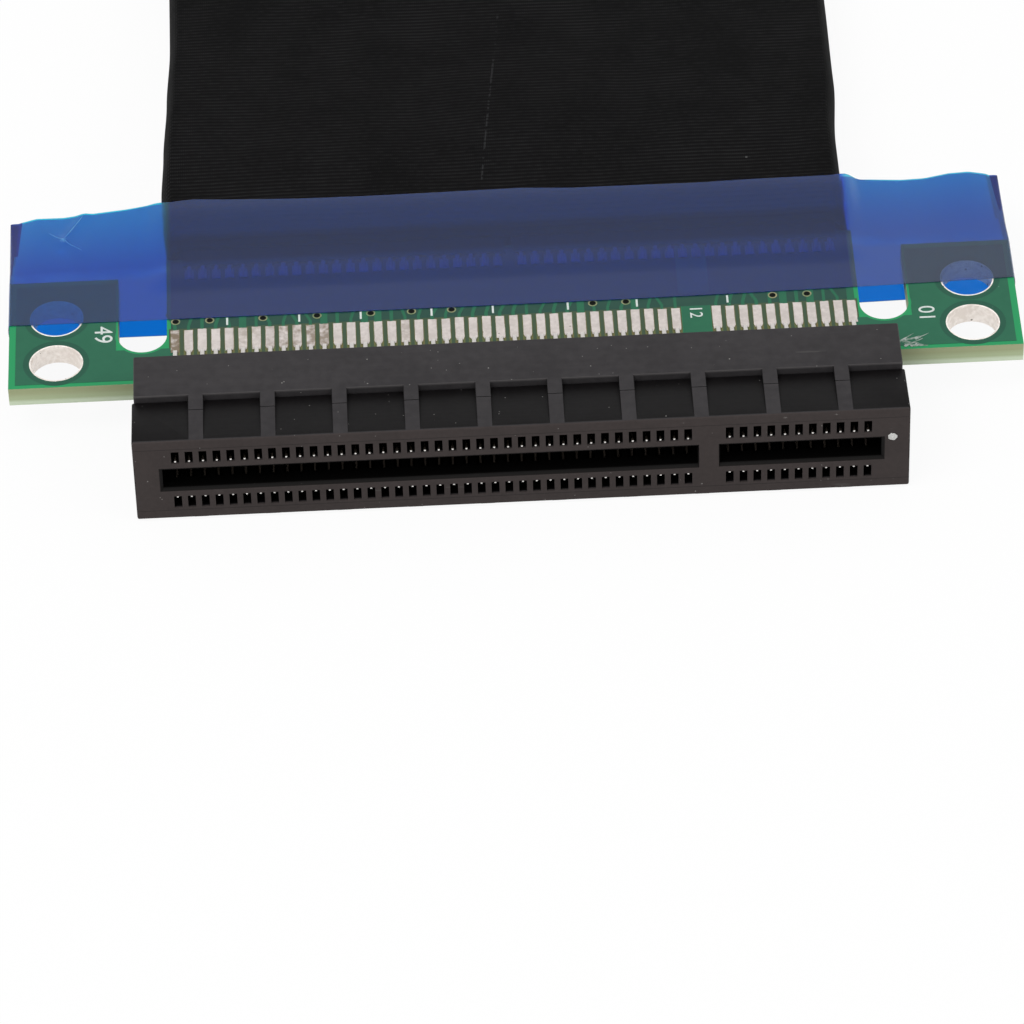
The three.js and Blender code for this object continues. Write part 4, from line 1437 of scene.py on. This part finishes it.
card = block(
    "edge_board", (-CARD_HALF, CARD_BACK, REST_DROP - BOARD_TOP),
    (CARD_HALF, CARD_TIP, REST_DROP + BOARD_TOP))
for side in (-1, 1):
    shoulder = side_block(
        "shoulder", side, CARD_TONGUE_HALF, CARD_HALF + 1, SHOULDER_Y, CARD_TIP + 1, 4)
    combine(card, shoulder, "DIFFERENCE")
key_slot = block(
    "key_slot", (KEY_X - KEY_SLOT / 2, KEY_ROUND_Y, -4), (KEY_X + KEY_SLOT / 2, CARD_TIP + 1, 4))
combine(card, key_slot, "DIFFERENCE")
combine(card, rod("key_round", (KEY_X, KEY_ROUND_Y, REST_DROP), KEY_SLOT / 2, 4, 32), "DIFFERENCE")
for side in (-1, 1):
    wedge = block("wedge", (-CARD_HALF, CARD_TIP - BEVEL_LENGTH, 0), (CARD_HALF, CARD_TIP + 1, 1.5))
    for vertex in wedge.data.vertices:
        if vertex.co.z < 0.5 * MM:
            past_tip = vertex.co.y >= CARD_TIP * MM
            vertex.co.z = -BEVEL_DEPTH * (BEVEL_LENGTH + 1) / BEVEL_LENGTH * MM * past_tip
    wedge.data.transform(Matrix.Translation((0, 0, BOARD_TOP * MM)))
    if side < 0:
        wedge.data.transform(Matrix.Diagonal((1, 1, -1, 1)))
        wedge.data.flip_normals()
    combine(card, moved(wedge, 0, 0, REST_DROP), "DIFFERENCE")
soften(card, 0.04, 1, 50)
seat(card, laminate, replaces=("edge_card",))


def card_plate(name, low, high, rise=PLATE_RISE):
    return moved(plate(name, low, high, rise), 0, 0, REST_DROP)


fingers = []
for x in PAD_XS:
    tip = CARD_TIP - FINGER_TIP - (SHORT_FINGER if x in SHORT_FINGERS else 0.0)
    back = CARD_TIP - FINGER_BACK
    fingers.append(card_plate(
        "upper_fingers", (x - FINGER_HALF, back), (x + FINGER_HALF, tip), FINGER_RISE))
fingers = join(fingers)
soften(fingers, 0.02, 1, 40)
gold = Finish("finger_gold", (0.83, 0.56, 0.20), 0.22, Metallic=1.0)
gold.tint(gold.brushing(5000, 1.0), (0.60, 0.38, 0.13), 0.4)
gold.roughness_range(gold.mottle(500, 2500), 0.2, 0.38)
seat_pair(fingers, "lower_fingers", gold.material, middle=REST_DROP)

card_copper = [card_plate(
    "card_copper", (-CARD_HALF + 0.7, CARD_BACK + 0.5), (CARD_HALF - 0.7, SHOULDER_Y - 0.7))]
for x in PAD_XS:
    card_copper.append(card_plate(
        "card_tracks", (x - 0.14, SHOULDER_Y - 0.8), (x + 0.14, CARD_TIP - FINGER_BACK + 0.1)))
seat_pair(join(card_copper), "lower_card_copper", covered_copper, middle=REST_DROP)

# %% [markdown]
# The far tape is the same film round the edge card and the cable's other end. It is made as if it
# were at the near end and then turned back to front, and its wings lie almost flat.

# %% Far tape
FAR_FRONT, FAR_WIDTH, FAR_BOARD_BACK = 21.3, 12.0, 26.1
FAR_TOP_BACK = ((-30.2, 0.6), (-28.5, 0.9), (-25.7, 2.5), (25.7, 2.5), (28.5, 0.9), (30.2, 0.6))
FAR_BOTTOM_BACK = (
    (-30.2, -0.5), (-28.5, -0.3), (-25.9, -2.55), (25.9, -2.55), (28.5, -0.3), (30.2, -0.5))
FAR_CENTRE = (
    (FAR_FRONT, FLAT_OFF), (22.8, FLAT_OFF), (23.4, OVER_WIRES), (25.6, OVER_WIRES + 0.05), (26.4, 2.1),
    (27.0, 2.3), (28.4, OVER_SLEEVE), (60.0, OVER_SLEEVE),
)
far_loop = FilmLoop(
    CARD_HALF + 0.1, FAR_BOARD_BACK, lambda x, side: FAR_FRONT,
    lambda x: FAR_FRONT + FAR_WIDTH + 0.15 * math.sin(0.2 * x),
    FAR_TOP_BACK, FAR_BOTTOM_BACK, FAR_CENTRE)
far_film = far_loop.build("far_film")
far_film.data.transform(
    Matrix.Translation((0, CARD_TIP * MM, REST_DROP * MM)) @ Matrix.Diagonal((1, -1, 1, 1)))
far_film.data.flip_normals()
seat(far_film, (film_blue, film_fold, film_blue), replaces=("far_tape_wrap",), smooth=40)

# %% [markdown]
# Inside the sleeve lie four flat ribbons, one pair for each side of the board. Each is a bundle of
# wires in foil, so its faces have fine ridges. The ribbons are thin where they lie on the board
# and fill the sleeve behind it.

# %% Ribbons
RIBBON_WIDTH, RIBBON_SPLIT, RIBBON_START, RIBBON_BACK = 24.1, 0.6, 22.4, 337.1
RIBBON_UNDER = ((RIBBON_START, 0.84), (23.55, 0.84), (24.6, 0.1), (400.0, 0.1))
RIBBON_OVER = ((RIBBON_START, 1.12), (23.6, 1.3), (27.2, 1.9), (400.0, 1.9))
RIDGES, RIDGE_POINTS, RIDGE_DEPTH, RIDGES_UNDER_FROM = 16, 6, 0.07, 24.6
FINE_STEP, FINE_RINGS, COARSE_STEP = 0.4, 14, 3


def ribbon_piece(name, side_x, side_z):
    """One flat ribbon, made ring by ring along the cable, with ridged faces."""
    places = [RIBBON_START + FINE_STEP * i for i in range(FINE_RINGS)]
    while places[-1] < RIBBON_BACK - COARSE_STEP:
        places.append(places[-1] + COARSE_STEP)
    places.append(RIBBON_BACK)
    steps = RIDGES * RIDGE_POINTS
    points = []
    for y in places:
        under, over = along_line(RIBBON_UNDER, y), along_line(RIBBON_OVER, y)
        for upper in (True, False):
            for i in range(steps + 1):
                share = i / steps if upper else 1 - i / steps
                ridge = RIDGE_DEPTH * abs(math.cos(math.pi * share * RIDGES))
                z = over - ridge if upper else under + (ridge if y > RIDGES_UNDER_FROM else 0.0)
                x = RIBBON_SPLIT / 2 + share * RIBBON_WIDTH
                points.append(Vector((side_x * x, y, cable_middle(y) + side_z * z)) * MM)
    count = 2 * (steps + 1)
    faces = ring_faces(len(places), count)
    faces.append(tuple(range(count)))
    faces.append(tuple(range(len(points) - 1, len(points) - count - 1, -1)))
    made = mesh_object(name, points, faces)
    edit_whole(made, bpy.ops.mesh.normals_make_consistent, inside=False)
    return made


def ribbon_foil():
    finish = Finish("ribbon_foil", (0.42, 0.42, 0.44), 0.42, Metallic=0.8)
    finish.tint(finish.mottle(300, 1800), (0.55, 0.54, 0.52), 0.3)
    # Painted shade: the ribbons' front ends, under the tape's climb, are made near black.
    finish.tint(finish.before("Y", 25.0, 25.4), (0.012, 0.012, 0.013), 0.95)
    finish.bump(finish.brushing(2500, 1.0), 0.03, 0.4)
    return finish.material


foil = ribbon_foil()
for level, side_z in (("upper", 1), ("lower", -1)):
    for hand, side_x in (("left", -1), ("right", 1)):
        ribbon = ribbon_piece(f"{level}_{hand}_ribbon", side_x, side_z)
        seat(ribbon, foil, replaces=(f"{level}_ribbon_{hand}",))

# %% [markdown]
# The ribbons' bared wires are soldered to both faces of each board in a row. One wire in its bead
# of solder is made for each half of the row and repeated.

# %% Wires on the boards
WIRES_PER_RIBBON, FIRST_WIRE = 24, 0.9
WIRE_HALF, WIRE_LOW, WIRE_HIGH = 0.16, 0.80, 1.0
BEAD_HALF, BEAD_LOW, BEAD_HIGH = 0.34, 0.79, 0.9


def wire_row(name, front, back, bead_front, bead_back, middle):
    """Bared wires, each in a flat bead of solder, on both sides of a board."""
    tops = []
    for side in (-1, 1):
        start = side * FIRST_WIRE - (WIRES_PER_RIBBON - 1 if side < 0 else 0)
        wire = block(name, (start - WIRE_HALF, front, WIRE_LOW), (start + WIRE_HALF, back, WIRE_HIGH))
        soften(wire, 0.06, 2)
        bead = block(
            "bead", (start - BEAD_HALF, bead_front, BEAD_LOW), (start + BEAD_HALF, bead_back, BEAD_HIGH))
        soften(bead, 0.05, 2)
        combine(wire, bead, "UNION")
        tops.append(repeat(wire, WIRES_PER_RIBBON, (1, 0, 0)))
    upper = join(tops)
    lower = underside_copy(upper, name + "_under")
    return moved(join([upper, lower]), 0, 0, middle)


near_wires = wire_row("near_wires", 21.0, 22.7, 21.05, 22.1, 0)
far_wires = wire_row("far_wires", 337.0, 340.0, 338.7, 339.9, REST_DROP)
dull_tin = tinned_metal("dull_tin", (0.34, 0.33, 0.32), (0.16, 0.15, 0.14), 0.5)
seat(near_wires, dull_tin)
seat(far_wires, dull_tin)
